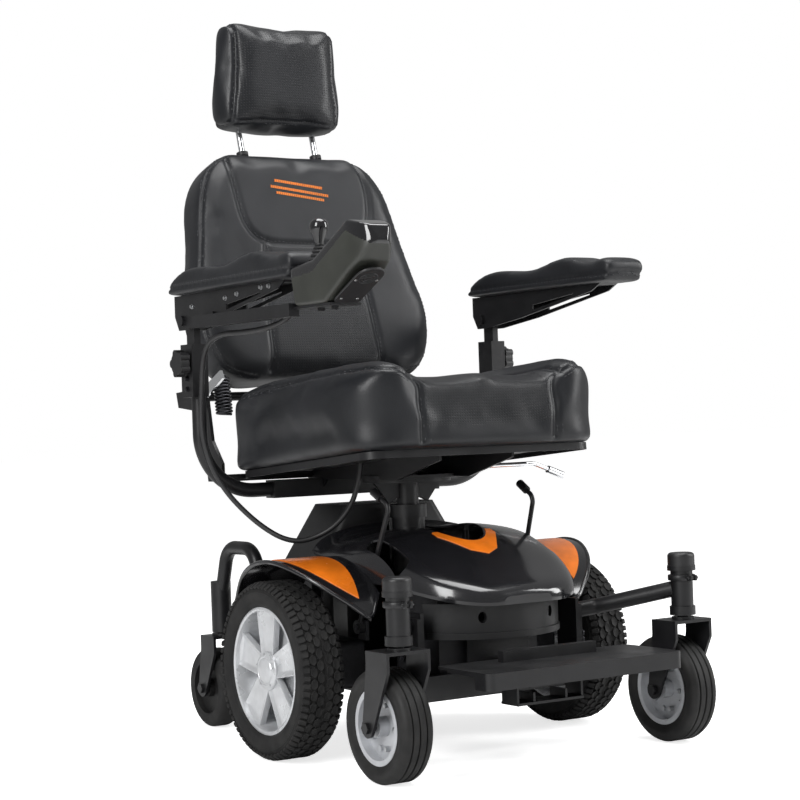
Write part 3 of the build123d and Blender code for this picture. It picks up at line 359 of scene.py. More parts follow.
def powder_coat():
    material = finish("powder_coat", (0.008, 0.008, 0.009), 0.36, specular=0.4)
    tinted(material, 24, (0.006, 0.006, 0.0068), (0.011, 0.011, 0.012))
    uneven_gloss(material, 20, 0.3, 0.44)
    embossed(material, cloudy(material, 900, 2.0), 0.25, 0.0003)
    return material


def plated(name, colour, low, high):
    material = finish(name, colour, low, metallic=1.0)
    uneven_gloss(material, 45, low, high)
    embossed(material, cloudy(material, 260, 3.0), 0.06, 0.0002)
    return material


def dusty_rubber(name, low, high):
    """Tyre rubber, a little paler where dust lies in it."""
    material = finish(name, (0.013, 0.013, 0.0135), 0.7, specular=0.3)
    tinted(material, 35, (0.008, 0.008, 0.0083), (0.018, 0.0175, 0.017))
    uneven_gloss(material, 25, low, high)
    embossed(material, cloudy(material, 500, 4.0), 0.35, 0.0005)
    return material


LEATHER = {
    "seat": leatherette("seat_leatherette", 0.34, 0.46, (1, 0, 0), (0, 1, 1)),
    "back": leatherette("back_leatherette", 0.36, 0.48, (1, 0, 0),
                        (0, math.sin(RECLINE), math.cos(RECLINE))),
    "head": leatherette("headrest_leatherette", 0.3, 0.4, (1, 0, 0), (0, 0.3, 1)),
    "arm": leatherette("armrest_leatherette", 0.38, 0.5),
}
THREAD = moulded("sewing_thread", (0.035, 0.036, 0.04), 0.45, 0.6, 2400, 0.5, 0.0002)
POWDER = powder_coat()
CHROME = plated("chrome_plate", (0.83, 0.84, 0.86), 0.05, 0.12)
ZINC = plated("zinc_plate", (0.55, 0.56, 0.57), 0.25, 0.4)
BLACK_BOLT = plated("blackened_steel", (0.05, 0.05, 0.055), 0.3, 0.42)
TYRE = dusty_rubber("tyre_rubber", 0.62, 0.82)
CASTER_RUBBER = dusty_rubber("caster_rubber", 0.5, 0.7)
RIM = moulded("silver_rim_paint", (0.56, 0.57, 0.585), 0.24, 0.36, 1200, 0.06, 0.0001,
              metallic=0.35, coat=0.4)
CASTER_RIM = moulded("grey_rim_paint", (0.46, 0.47, 0.49), 0.32, 0.46, 900, 0.12, 0.0001,
                     metallic=0.3)
SHROUD = moulded("shroud_plastic", (0.009, 0.009, 0.0105), 0.14, 0.22, 60, 0.0, coat=0.5)
ORANGE = moulded("orange_plastic", (0.86, 0.2, 0.012), 0.18, 0.28, 60, 0.0, coat=0.4)
COVER = moulded("cover_plastic", (0.009, 0.009, 0.0098), 0.4, 0.52, 1100, 0.35, 0.0003)
CASE = moulded("battery_case", (0.02, 0.02, 0.022), 0.45, 0.6, 700, 0.3, 0.0003)
CAST = moulded("cast_housing", (0.03, 0.03, 0.033), 0.4, 0.55, 380, 0.45, 0.0006, metallic=0.6)
GLOSS = moulded("knob_plastic", (0.006, 0.006, 0.007), 0.07, 0.13, 60, 0.0, coat=0.6)
BELLOWS = moulded("bellows_rubber", (0.013, 0.013, 0.014), 0.5, 0.62, 1300, 0.2)
LEAD = moulded("cable_jacket", (0.014, 0.014, 0.015), 0.4, 0.52, 1500, 0.2)
OLIVE = moulded("pod_lower_shell", (0.026, 0.0275, 0.023), 0.34, 0.46, 1100, 0.25, 0.0002)
EMBROIDERY = moulded("orange_thread", (0.9, 0.26, 0.03), 0.45, 0.6, 1800, 0.6, 0.0003)

CAD_FINISH = {
    "base_frame": POWDER, "seat_frame": POWDER, "back_frame": POWDER, "footplate": POWDER,
    "seat_post": POWDER, "front_arm": POWDER, "rear_arm": POWDER, "front_fork": POWDER,
    "rear_fork": POWDER, "arm_support": POWDER, "armrest_post": POWDER,
    "armrest_bracket": POWDER, "joystick_mount": POWDER, "freewheel_lever": POWDER,
    "motor_gearbox": CAST, "batteries": CASE, "controller_box": CAST, "main_shroud": SHROUD,
    "fender_accents": ORANGE, "fender_": SHROUD, "shroud_accent": ORANGE,
    "front_cover": COVER, "rear_cover": COVER, "swivel_lever": CHROME,
    "recline_lever": CHROME, "clamp_knob": COVER, "arm_caps": COVER,
    "headrest_posts": CHROME, "headrest_guides": COVER, "joystick_housing": COVER,
    "joystick_gimbal": BLACK_BOLT, "front_caster_rim": CASTER_RIM, "rear_caster": CASTER_RUBBER,
    "drive_rim": RIM,
}
for name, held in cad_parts.items():
    for stem, coat in CAD_FINISH.items():
        if name.startswith(stem):
            held.data.materials.clear()
            held.data.materials.append(coat)
            break


# ---------------------------------------------------------------- upholstery
def evened(points, pitch):
    """Points spaced evenly along a run of points."""
    spaced = [points[0].copy()]
    need = pitch
    for a, b in zip(points, points[1:]):
        run = (b - a).length
        while need <= run:
            spaced.append(a.lerp(b, need / run))
            need += pitch
        need -= run
    return spaced


def curved(corners, pitch=0.004):
    """A smooth run through the corners."""
    run = []
    ends = [corners[0]] + list(corners) + [corners[-1]]
    for a, b, c, d in zip(ends, ends[1:], ends[2:], ends[3:]):
        for i in range(16):
            t = i / 16
            run.append(0.5 * ((2 * b) + (c - a) * t + (2 * a - 5 * b + 4 * c - d) * t * t
                              + (3 * b - a - 3 * c + d) * t ** 3))
    run.append(corners[-1].copy())
    return evened(run, pitch)


def on_surface(piece, points):
    """The nearest places on the piece's surface, each with the surface's direction there."""
    landed = []
    for point in points:
        _, place, normal, _ = piece.closest_point_on_mesh(point)
        landed.append((place.copy(), normal.copy()))
    return landed


def pressed(piece, runs, width, depth):
    """Draws the surface in along sewn lines."""
    marks = [place for run in runs for place, _ in on_surface(piece, evened(run, 0.003))]
    tree = KDTree(len(marks))
    for i, mark in enumerate(marks):
        tree.insert(mark, i)
    tree.balance()
    directions = [v.normal.copy() for v in piece.data.vertices]
    for vertex, out in zip(piece.data.vertices, directions):
        _, _, far = tree.find(vertex.co)
        if far < 3 * width:
            vertex.co -= out * depth * math.exp(-(far / width) ** 2)
    piece.data.update()


def stuffed(node_name, voxel, pressure, cap, flat_below=None, rounding=6, inset=0.0,
            shape=None):
    """A padded piece blown up by cloth pressure from the solid that holds its place."""
    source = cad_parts[node_name]
    pad = source.copy()
    pad.data = source.data.copy()
    pad.parent = None
    pad.matrix_world = Matrix.Identity(4)
    bpy.context.collection.objects.link(pad)
    pad.data.materials.clear()
    only(pad)
    bpy.ops.object.mode_set(mode="EDIT")
    bpy.ops.mesh.select_all(action="SELECT")
    bpy.ops.mesh.remove_doubles(threshold=0.00002)
    bpy.ops.object.mode_set(mode="OBJECT")
    finished(pad, "REMESH", mode="VOXEL", voxel_size=voxel)
    finished(pad, "SMOOTH", factor=0.5, iterations=rounding)
    if shape:
        for vertex in pad.data.vertices:
            vertex.co = shape(vertex.co)
    if inset:
        outs = [v.normal.copy() for v in pad.data.vertices]
        for vertex, out in zip(pad.data.vertices, outs):
            vertex.co -= out * inset
    rest = np.array([v.co for v in pad.data.vertices])
    cloth = pad.modifiers.new("stuffing", "CLOTH")
    cloth.settings.quality = 5
    cloth.settings.use_pressure = True
    cloth.settings.uniform_pressure_force = pressure
    cloth.settings.effector_weights.gravity = 0
    cloth.point_cache.frame_start = 1
    cloth.point_cache.frame_end = 20
    for step in range(1, 21):
        bpy.context.scene.frame_set(step)
    swollen = pad.evaluated_get(bpy.context.evaluated_depsgraph_get())
    grown = np.array([v.co for v in swollen.data.vertices])
    pad.modifiers.clear()
    bpy.context.scene.frame_set(1)
    move = grown - rest
    length = np.linalg.norm(move, axis=1, keepdims=True)
    move *= np.minimum(1, cap / np.maximum(length, 1e-9))
    if flat_below is not None:
        lift = rest[:, 2] - (flat_below[0] + flat_below[1] * rest[:, 1])
        move *= np.clip(lift / 0.05, 0, 1)[:, None]
    pad.data.vertices.foreach_set("co", (rest + move).ravel())
    pad.data.update()
    finished(pad, "SMOOTH", factor=0.5, iterations=16)
    finished(pad, "SUBSURF", levels=1, render_levels=1)
    pad.data.polygons.foreach_set("use_smooth", [True] * len(pad.data.polygons))
    pad.data.update()
    return pad


def punched(pad, test):
    """Marks where the cover has punched holes."""
    mark = pad.data.attributes.new("punched", "FLOAT", "POINT")
    mark.data.foreach_set("value", [test(v.co) for v in pad.data.vertices])


bpy.ops.mesh.primitive_uv_sphere_add(segments=6, ring_count=4, radius=0.5)
single_stitch = bpy.context.object
STITCH_POINTS = np.array([v.co for v in single_stitch.data.vertices])
STITCH_FACES = [tuple(f.vertices) for f in single_stitch.data.polygons]
bpy.data.objects.remove(single_stitch)


def stitched(name, piece, rows, thread=THREAD, long=0.0058, pitch=0.0078, thick=0.0013):
    """Rows of raised stitches along runs of points on the piece."""
    points, faces = [], []
    for run, shift in rows:
        landed = on_surface(piece, evened(run, pitch))
        for (a, out), (b, _) in zip(landed, landed[1:]):
            along = (b - a)
            if along.length < 0.2 * pitch or along.length > 2 * pitch:
                continue
            along.normalize()
            side = out.cross(along).normalized()
            place = (a + b) / 2 + side * shift
            _, place, out, _ = piece.closest_point_on_mesh(place)
            shape = np.array([along * long, side * thick, out * thick])
            first = len(points)
            points.extend((STITCH_POINTS @ shape + np.array(place + out * 0.0001)).tolist())
            faces.extend(tuple(i + first for i in face) for face in STITCH_FACES)
    mesh = bpy.data.meshes.new(name)
    mesh.from_pydata(points, [], faces)
    seam = bpy.data.objects.new(name, mesh)
    bpy.context.collection.objects.link(seam)
    mesh.polygons.foreach_set("use_smooth", [True] * len(mesh.polygons))
    mesh.materials.append(thread)
    return seam


def seat_form(p):
    """Rounds the seat's front corners in plan and lets its shoulders fall outward."""
    y = (p.y - AXLE_Y) * 1000
    ahead = min(max((-120 - y) / 95, 0), 1)
    x = p.x * (1 - 0.1 * ahead ** 2.2)
    edge = min(max((abs(p.x) - 0.2) / 0.045, 0), 1)
    high = min(max((p.z - 0.56) / 0.08, 0), 1)
    drop = 0.022 * edge ** 2 * high * (0.4 + ahead)
    return Vector((x, p.y, p.z - drop))


# Seat cushion
seat = stuffed("seat_cushion", 0.006, 4.0, 0.01,
               (0.470 + 0.015 * math.tan(SEAT_TILT) + 0.004, -math.tan(SEAT_TILT)), 22, 0.0,
               seat_form)
panel_seams = [[at(x, -230, 500), at(x, -228, 560), at(x, -224, 610), at(x, -196, 640),
                at(x, -60, 636), at(x, 100, 622), at(x, 240, 600)] for x in (-130, 130)]
edge_seams = [[at(s * 130, -224, 622), at(s * 165, -222, 630), at(s * 205, -205, 645),
               at(s * 236, -150, 655), at(s * 246, -60, 652), at(s * 248, 40, 640),
               at(s * 246, 140, 622), at(s * 238, 240, 600)] for s in (-1, 1)]
panel_seams = [curved(run) for run in panel_seams]
edge_seams = [curved(run) for run in edge_seams]
pressed(seat, panel_seams, 0.006, 0.005)
pressed(seat, edge_seams, 0.005, 0.0035)
punched(seat, lambda p: 1.0 if abs(p.x) < 0.122 and p.z > 0.53 else 0.0)
fitted(seat, LEATHER["seat"], "seat", "leatherette", "seat_cushion")
seat.name = seat.data.name = "seat_pad"
seat_thread = stitched("seat_stitching", seat,
                       [(run, shift) for run in edge_seams for shift in (-0.0055, 0.0055)]
                       + [(run, shift) for run in panel_seams for shift in (-0.005, 0.005)])
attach(seat_thread, "seat")

# Backrest
back = stuffed("back_cushion", 0.006, 4.0, 0.009, None, 10)
FACE = -50
shield = [on_back(x, s, FACE) for x, s in
          ((-144, 440), (-140, 400), (-136, 362), (-129, 308), (-112, 276), (-84, 263),
           (-30, 260), (40, 261), (92, 266), (120, 280), (138, 312), (146, 361), (141, 419),
           (138, 442))]
drops = [[on_back(s * x, t, FACE) for x, t in ((90, 266), (100, 210), (107, 150), (112, 60),
                                               (116, 10))] for s in (-1, 1)]
outline = [(-150, 6), (-218, 32), (-242, 95), (-236, 180), (-222, 265), (-203, 345),
           (-182, 412), (-165, 440), (-128, 448)]
gussets = [[on_back(s * -x, t, -38) for x, t in outline] for s in (-1, 1)]
shield_run = curved(shield)
drop_runs = [curved(run) for run in drops]
gusset_runs = [curved(run) for run in gussets]
pressed(back, [shield_run] + drop_runs, 0.0055, 0.005)
pressed(back, gusset_runs, 0.0045, 0.003)


def below_shield(p):
    """The middle panel under the shield, where the cover is punched."""
    s = (p.z - 0.605) * math.cos(RECLINE) + (p.y - AXLE_Y - 0.3265) * math.sin(RECLINE)
    n = (p.y - AXLE_Y - 0.3265) * math.cos(RECLINE) - (p.z - 0.605) * math.sin(RECLINE)
    return 1.0 if n < -0.03 and s < 0.258 and abs(p.x) < 0.094 + (0.258 - s) * 0.06 else 0.0


punched(back, below_shield)
fitted(back, LEATHER["back"], "backrest", "leatherette", "back_cushion")
back.name = back.data.name = "back_pad"
back_thread = stitched("back_stitching", back,
                       [(run, shift) for run in gusset_runs for shift in (-0.005, 0.005)]
                       + [(run, 0.0045) for run in drop_runs] + [(shield_run, 0.0045)])
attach(back_thread, "backrest")
emblem = [curved([on_back(x, s, FACE) for x, s in corners], 0.002) for corners in (
    [(-52, 384), (-20, 380), (20, 375), (52, 371)],
    [(-62, 372), (-22, 367), (24, 361), (62, 356)],
    [(-52, 360), (-20, 356), (20, 351), (52, 347)])]
emblem_thread = stitched("back_emblem", back, [(run, shift) for run in emblem
                                               for shift in (-0.0018, 0, 0.0018)],
                         EMBROIDERY, 0.0046, 0.0042, 0.0016)
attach(emblem_thread, "backrest")

# Headrest
def head_form(p):
    """Narrows the headrest towards its corners."""
    low = min(max((1.15 - p.z) / 0.06, 0), 1)
    return Vector((p.x * (1 - 0.1 * low ** 2), p.y, p.z))


head = stuffed("headrest_cushion", 0.005, 4.5, 0.009, None, 20, 0.0, head_form)
head_low, head_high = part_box("headrest_cushion")
mid_y = (head_low[1] + head_high[1]) / 2
loops = []
for s in (-1, 1):
    loops.append([Vector((s * x, mid_y + dy, z)) for x, dy, z in
                  ((0.120, 0.05, 1.13), (0.121, 0.0, 1.085), (0.121, -0.04, 1.095),
                   (0.121, -0.055, 1.14), (0.117, -0.052, 1.2), (0.111, -0.045, 1.27),
                   (0.108, 0.0, 1.295), (0.108, 0.045, 1.275))])
loops = [curved(run) for run in loops]
lower = [curved([Vector((x, mid_y - 0.048, 1.098)) for x in (-0.12, -0.06, 0, 0.06, 0.12)])]
pressed(head, loops, 0.005, 0.004)
pressed(head, lower, 0.004, 0.002)
punched(head, lambda p: 1.0 if abs(p.x) < 0.105 and p.y < mid_y and 1.105 < p.z else 0.0)
fitted(head, LEATHER["head"], "headrest", "leatherette", "headrest_cushion")
head.name = head.data.name = "headrest_pad"
head_thread = stitched("headrest_stitching", head,
                       [(run, shift) for run in loops for shift in (-0.0045, 0.0045)]
                       + [(run, -0.004) for run in lower])
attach(head_thread, "headrest")

# Armrest pads
for side, sx in SIDES:
    pad = stuffed(f"armrest_pad_{side}", 0.005, 3.0, 0.004, (0.763, 0.0), 4)
    skirt = [at(sx * x, y, 776) for x, y in ((312, 240), (352, 225), (354, 100), (354, -100),
                                             (352, -170), (311, -192), (270, -170),
                                             (268, -100), (268, 100), (270, 225), (310, 240))]
    skirt = curved(skirt)
    pressed(pad, [skirt], 0.004, 0.0025)
    fitted(pad, LEATHER["arm"], f"armrest_{side}", "leatherette", f"armrest_pad_{side}")
    pad.name = pad.data.name = f"arm_pad_{side}"
    pad_thread = stitched(f"arm_pad_stitching_{side}", pad, [(skirt, 0.0035)])
    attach(pad_thread, f"armrest_{side}")

# ---------------------------------------------------------------- drive wheels
hub = at(285.5, 0, 144)
carcass = turned("tyre", [(103, -31), (106, -34), (110, -35.2), (112, -34.6), (120, -36.8),
                          (126, -36.4), (126.8, -37), (128, -36), (133, -34), (138, -29),
                          (140.6, -20), (141, -3), (139.6, 0), (141, 3), (140.6, 20),
                          (138, 29), (133, 34), (128, 36), (126.8, 37), (126, 36.4), (120, 36.8), (112, 34.6), (110, 35.2),
                          (106, 34), (103, 31), (100.5, 24), (100.5, -24)], hub, "X", 96, True)
treads = []
for offset, phase in ((-20.5, 0), (-8.2, 0.5), (8.2, 0), (20.5, 0.5)):
    top = hub + Vector((offset / 1000, 0, 0))
    bpy.ops.mesh.primitive_cylinder_add(vertices=6, radius=0.0066, depth=0.0066,
                                        location=top + Vector((0, 0, 0.1405)))
    lug = bpy.context.object
    lug.scale = (0.98, 1.36, 1)
    settled(lug, "lug")
    faces_picked(lug, lambda f: f.normal.z > 0.9)
    bpy.ops.mesh.inset(thickness=0.0014)
    bpy.ops.transform.translate(value=(0, 0, -0.0007))
    bpy.ops.object.mode_set(mode="OBJECT")
    softened(lug, 0.0006, 1)
    lug.data.transform(turned_about(hub, math.radians(7.5 * phase), "X"))
    treads.append(ringed("tread_row", lug, hub, "X", 48))
for offset in (-31.2, 31.2):
    tip = -1 if offset < 0 else 1
    lug = block("lug", hub + Vector((offset / 1000, 0, 0.1372)), (13, 8.6, 5.6), 0.0011, 1,
                (0, math.radians(34 * tip), 0))
    treads.append(ringed("tread_row", lug, hub, "X", 72))
tyre = joined("drive_tyre_looks", [carcass] + treads)
both_sides(tyre, "treaded_tyre", TYRE, "drive_wheel_{side}", "rubber_tyre",
           ("drive_tyre_{side}",))

barrel = turned("barrel", [(102.6, 31), (99.5, 32.4), (96.6, 30.5), (95.6, 25), (94.5, 12),
                           (94.5, -28), (98, -32), (102.6, -31), (100, -26), (97.5, -20),
                           (97.5, 18), (100, 27)], hub, "X", 96, True)
bpy.ops.mesh.primitive_cube_add(size=1)
spoke = bpy.context.object
spoke.scale = (0.013, 0.036, 0.076)
spoke.location = hub + Vector((0.0195, 0, 0.059))
settled(spoke, "spoke")
faces_picked(spoke, lambda f: f.normal.z > 0.9)
bpy.ops.transform.resize(value=(1, 1.62, 1), center_override=hub + Vector((0.0195, 0, 0.097)))
bpy.ops.object.mode_set(mode="OBJECT")
faces_picked(spoke, lambda f: f.normal.x > 0.9)
bpy.ops.mesh.inset(thickness=0.0075)
bpy.ops.transform.translate(value=(-0.0045, 0, 0))
bpy.ops.mesh.inset(thickness=0.003)
bpy.ops.object.mode_set(mode="OBJECT")
softened(spoke, 0.0022, 3)
spokes = ringed("spokes", spoke, hub, "X", 5)
centre_cap = turned("cap", [(0, 33), (15, 32.5), (20, 30.5), (21.5, 28.5), (22.5, 28.5),
                            (23.5, 29.5), (28, 28.6), (30.5, 26), (31, 14), (26, 12),
                            (9, 12), (9, -58), (0, -58)], hub, "X", 48)
rim_bolt = rod("bolt", hub + Vector((0.027, 0, 0.0262)), hub + Vector((0.0305, 0, 0.0262)),
               0.0022, 6, 0.0004)
rim_bolts = ringed("rim_bolts", rim_bolt, hub, "X", 5)
dish = turned("dish", [(20, 8), (60, 2), (90, -8), (95, -10), (95, -13), (88, -12), (60, -2),
                       (20, 4)], hub, "X", 72, True)
drive_rim = joined("drive_rim_looks", [barrel, dish, spokes, centre_cap])
both_sides(drive_rim, "spoked_rim", RIM, "drive_wheel_{side}", "rim_silver",
           ("drive_rim_{side}",))
both_sides(rim_bolts, "rim_bolts", ZINC, "drive_wheel_{side}", "rim_silver")

# ---------------------------------------------------------------- casters
caster = at(275, -304, 86)
ribs = [(58, -22), (61, -24.5), (66, -25), (67, -26), (74, -27), (80, -25.5), (84.2, -21.8),
        (86, -18), (86, -14.2), (85.4, -13.6), (83, -13.2), (83, -11.2), (85.4, -10.8),
        (86, -10.2), (86, -2), (85.4, -1.4), (83, -1), (83, 1), (85.4, 1.4), (86, 2),
        (86, 10.2), (85.4, 10.8), (83, 11.2), (83, 13.2), (85.4, 13.6), (86, 14.2), (86, 18),
        (84.2, 21.8), (80, 25.5), (74, 27), (67, 26), (66, 25), (61, 24.5), (58, 22),
        (57, 0)]
ribbed = turned("ribbed", ribs, caster, "X", 72, True)
both_sides(ribbed, "ribbed_caster_tyre", CASTER_RUBBER, "front_caster_{side}", "rubber_tyre",
           ("front_caster_tyre_{side}",))
for side, sx in SIDES:
    wheel = at(sx * 275, -304, 86)
    bolts = []
    for face in (-1, 1):
        for i in range(5):
            turn = turned_about(wheel, math.radians(72 * i + 20), "X")
            start = turn @ (wheel + Vector((face * 0.006, 0, 0.034)))
            end = turn @ (wheel + Vector((face * 0.0145, 0, 0.034)))
            bolts.append(rod("bolt", start, end, 0.0042, 6, 0.0005))
    bolts = joined(f"caster_bolts_{side}", bolts)
    fitted(bolts, ZINC, f"front_caster_{side}", "caster_grey")

# ---------------------------------------------------------------- joystick
stick = at(-318, -222, 0)
knob = turned("joystick_grip", [(0, 775), (4, 775), (4, 806), (6.2, 810), (8.2, 817),
                                (10.6, 824), (13.6, 831), (14.7, 837), (13.6, 843),
                                (9.6, 847.4), (4.5, 848.9), (0, 849)], stick, "Z", 40)
fitted(knob, GLOSS, "stick", "cover_black", "joystick_knob")
boot = turned("joystick_bellows", [(4.5, 812), (7, 811.4), (7.6, 809), (6.4, 807.6),
                                   (8.6, 806), (9.6, 804), (8.2, 802.4), (10.8, 800.6),
                                   (12, 798.4), (10.4, 796.8), (13.4, 794.8), (14.6, 792.6),
                                   (13, 790.8), (16.2, 788.6), (17.4, 786.2), (16.6, 784.6),
                                   (20.5, 782.4), (22, 780), (22, 776.4), (17, 776.4),
                                   (15, 783), (6, 803), (4.5, 806)], stick, "Z", 48, True)
fitted(boot, BELLOWS, "armrest_right", "cable_rubber", "joystick_boot")

pod_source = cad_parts["joystick_housing"]
pod = copied(pod_source, "joystick_pod", Matrix.Identity(4))
pod.parent = None
pod.matrix_world = Matrix.Identity(4)
only(pod)
bpy.ops.object.mode_set(mode="EDIT")
bpy.ops.mesh.select_all(action="SELECT")
bpy.ops.mesh.remove_doubles(threshold=0.00002)
bpy.ops.object.mode_set(mode="OBJECT")
finished(pod, "REMESH", mode="VOXEL", voxel_size=0.0022)
finished(pod, "SMOOTH", factor=0.5, iterations=7)
for vertex in pod.data.vertices:
    nose = min(max((-345 - (vertex.co.y - AXLE_Y) * 1000) / 58, 0), 0.995)
    half = math.sqrt(1 - nose ** 2)
    vertex.co.x = -0.318 + (vertex.co.x + 0.318) * max(half, 0.3)
fitted(pod, OLIVE, "armrest_right", "cover_black", "joystick_housing")
pod.data.materials.append(GLOSS)


def lid_edge(y):
    """Height of the joint between the pod's lower shell and its lid."""
    spots = ((-402, 792), (-352, 818), (-252, 766), (-183, 760), (-150, 760))
    for (y0, z0), (y1, z1) in zip(spots, spots[1:]):
        if y <= y1:
            return z0 + (z1 - z0) * (y - y0) / (y1 - y0)
    return 760


for face in pod.data.polygons:
    face.use_smooth = True
    if face.center.z * 1000 > lid_edge((face.center.y - AXLE_Y) * 1000):
        face.material_index = 1

FRONT = math.atan2(44, 92)        # slope of the raised front's underside
plate_mid = at(-318, -334, 741)
under = Matrix.Translation(plate_mid) @ Matrix.Rotation(-FRONT, 4, "X")


def under_pod(x, y, z):
    """A point on the raised front's underside: x across, y along it, z out of it."""
    return under @ Vector((x / 1000, y / 1000, -z / 1000))


PLATE_STRETCH = 0.062
inset_plate = turned("plate", [(0, 0), (22.5, 0), (23.5, 1), (23.5, 3), (22, 4.2), (0, 4.2)],
                     Vector((0, 0, 0)), "Z", 48)
faces_picked(inset_plate, lambda f: True)
bpy.ops.mesh.select_mode(type="VERT")
bpy.ops.mesh.bisect(plane_co=(0, 0, 0), plane_no=(0, 1, 0), use_fill=False)
bpy.ops.mesh.select_all(action="DESELECT")
bpy.ops.object.mode_set(mode="OBJECT")
for vertex in inset_plate.data.vertices:
    vertex.select = vertex.co.y > 0.0005
bpy.ops.object.mode_set(mode="EDIT")
bpy.ops.transform.translate(value=(0, PLATE_STRETCH, 0))
bpy.ops.object.mode_set(mode="OBJECT")
inset_plate.data.transform(under @ Matrix.Translation((0, -0.028, -0.0042)))
inset_plate.data.update()
inset_plate.name = inset_plate.data.name = "pod_inset_plate"
fitted(inset_plate, COVER, "armrest_right", "cover_black")
grille = []
for ring_radius in (5, 9.5, 14):
    bpy.ops.mesh.primitive_torus_add(major_radius=ring_radius / 1000, minor_radius=0.0011,
                                     major_segments=40, minor_segments=8,
                                     location=under_pod(0, -24, 4.2), rotation=(-FRONT, 0, 0))
    grille.append(smoothed(settled(bpy.context.object, "ring")))
fitted(joined("pod_speaker_grille", grille), COVER, "armrest_right", "cover_black")
pod_screws = joined("pod_screws", [rod("screw", under_pod(x, y, 2), under_pod(x, y, 4.9), 0.0024,
                                       16, 0.0005) for x, y in ((-18, -18), (18, -18),
                                                                (-14, 36), (14, 36))])
fitted(pod_screws, ZINC, "armrest_right", "cover_black")

# ---------------------------------------------------------------- joystick lead
ROUTE = ((-318, -180, 735), (-320, -130, 704), (-320, -60, 692), (-322, 20, 690),
         (-324, 100, 692), (-322, 160, 672), (-314, 190, 606), (-314, 197, 520),
         (-286, 192, 440), (-236, 156, 372), (-190, 116, 336), (-140, 92, 350),
         (-112, 66, 382), (-100, 46, 424), (-94, 42, 469))
lead_line = bpy.data.curves.new("joystick_lead", "CURVE")
lead_line.dimensions = "3D"
lead_line.bevel_depth = 0.0045
lead_line.bevel_resolution = 5
lead_line.resolution_u = 16
lead_line.use_fill_caps = True
spline = lead_line.splines.new("NURBS")
spline.points.add(len(ROUTE) - 1)
for point, corner in zip(spline.points, ROUTE):
    point.co = (*at(*corner), 1)
spline.order_u = 3
spline.use_endpoint_u = True
lead = bpy.data.objects.new("joystick_lead", lead_line)
bpy.context.collection.objects.link(lead)
centre_line = lead.copy()
centre_line.data = lead_line.copy()
centre_line.data.bevel_depth = 0
bpy.context.collection.objects.link(centre_line)
bpy.context.view_layer.update()
followed = bpy.data.meshes.new_from_object(
    centre_line.evaluated_get(bpy.context.evaluated_depsgraph_get()))
bpy.data.objects.remove(centre_line)
only(lead)
bpy.ops.object.convert(target="MESH")
lead = bpy.context.object
lead.name = lead.data.name = "joystick_lead"
smoothed(lead, 60)
lead.data.materials.clear()
lead.data.materials.append(LEAD)
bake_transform(lead)
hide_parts("joystick_cable")
relief = turned("lead_relief", [(0, -2), (7.5, -2), (7.6, 4), (6.2, 6), (7.2, 8), (6, 10),
                                (6.8, 12), (5.6, 14), (6.2, 16), (5.2, 22), (0, 22)],
                Vector((0, 0, 0)), "Z", 32)
lead_start, lead_next = at(*ROUTE[0]), at(*ROUTE[1])
aim = (lead_next - lead_start).to_track_quat("Z", "Y").to_matrix().to_4x4()
relief.data.transform(Matrix.Translation(lead_start) @ aim)
fitted(relief, BELLOWS, "armrest_right", "cable_rubber")

# ---------------------------------------------------------------- fittings
def hex_bolt(place, direction, size, proud=0.0042):
    """A washer and hexagon head standing on a surface."""
    out = Vector(direction).normalized()
    washer = rod("washer", place - out * 0.0004, place + out * 0.0012, size * 1.25, 24, 0.0003)
    bolt_head = rod("head", place + out * 0.0008, place + out * proud, size, 6, 0.0005)
    return [washer, bolt_head]


def bolted(name, places, finish_of, body, slot):
    heads = [part for place, direction, size in places
             for part in hex_bolt(place, direction, size)]
    return fitted(joined(name, heads), finish_of, body, slot)


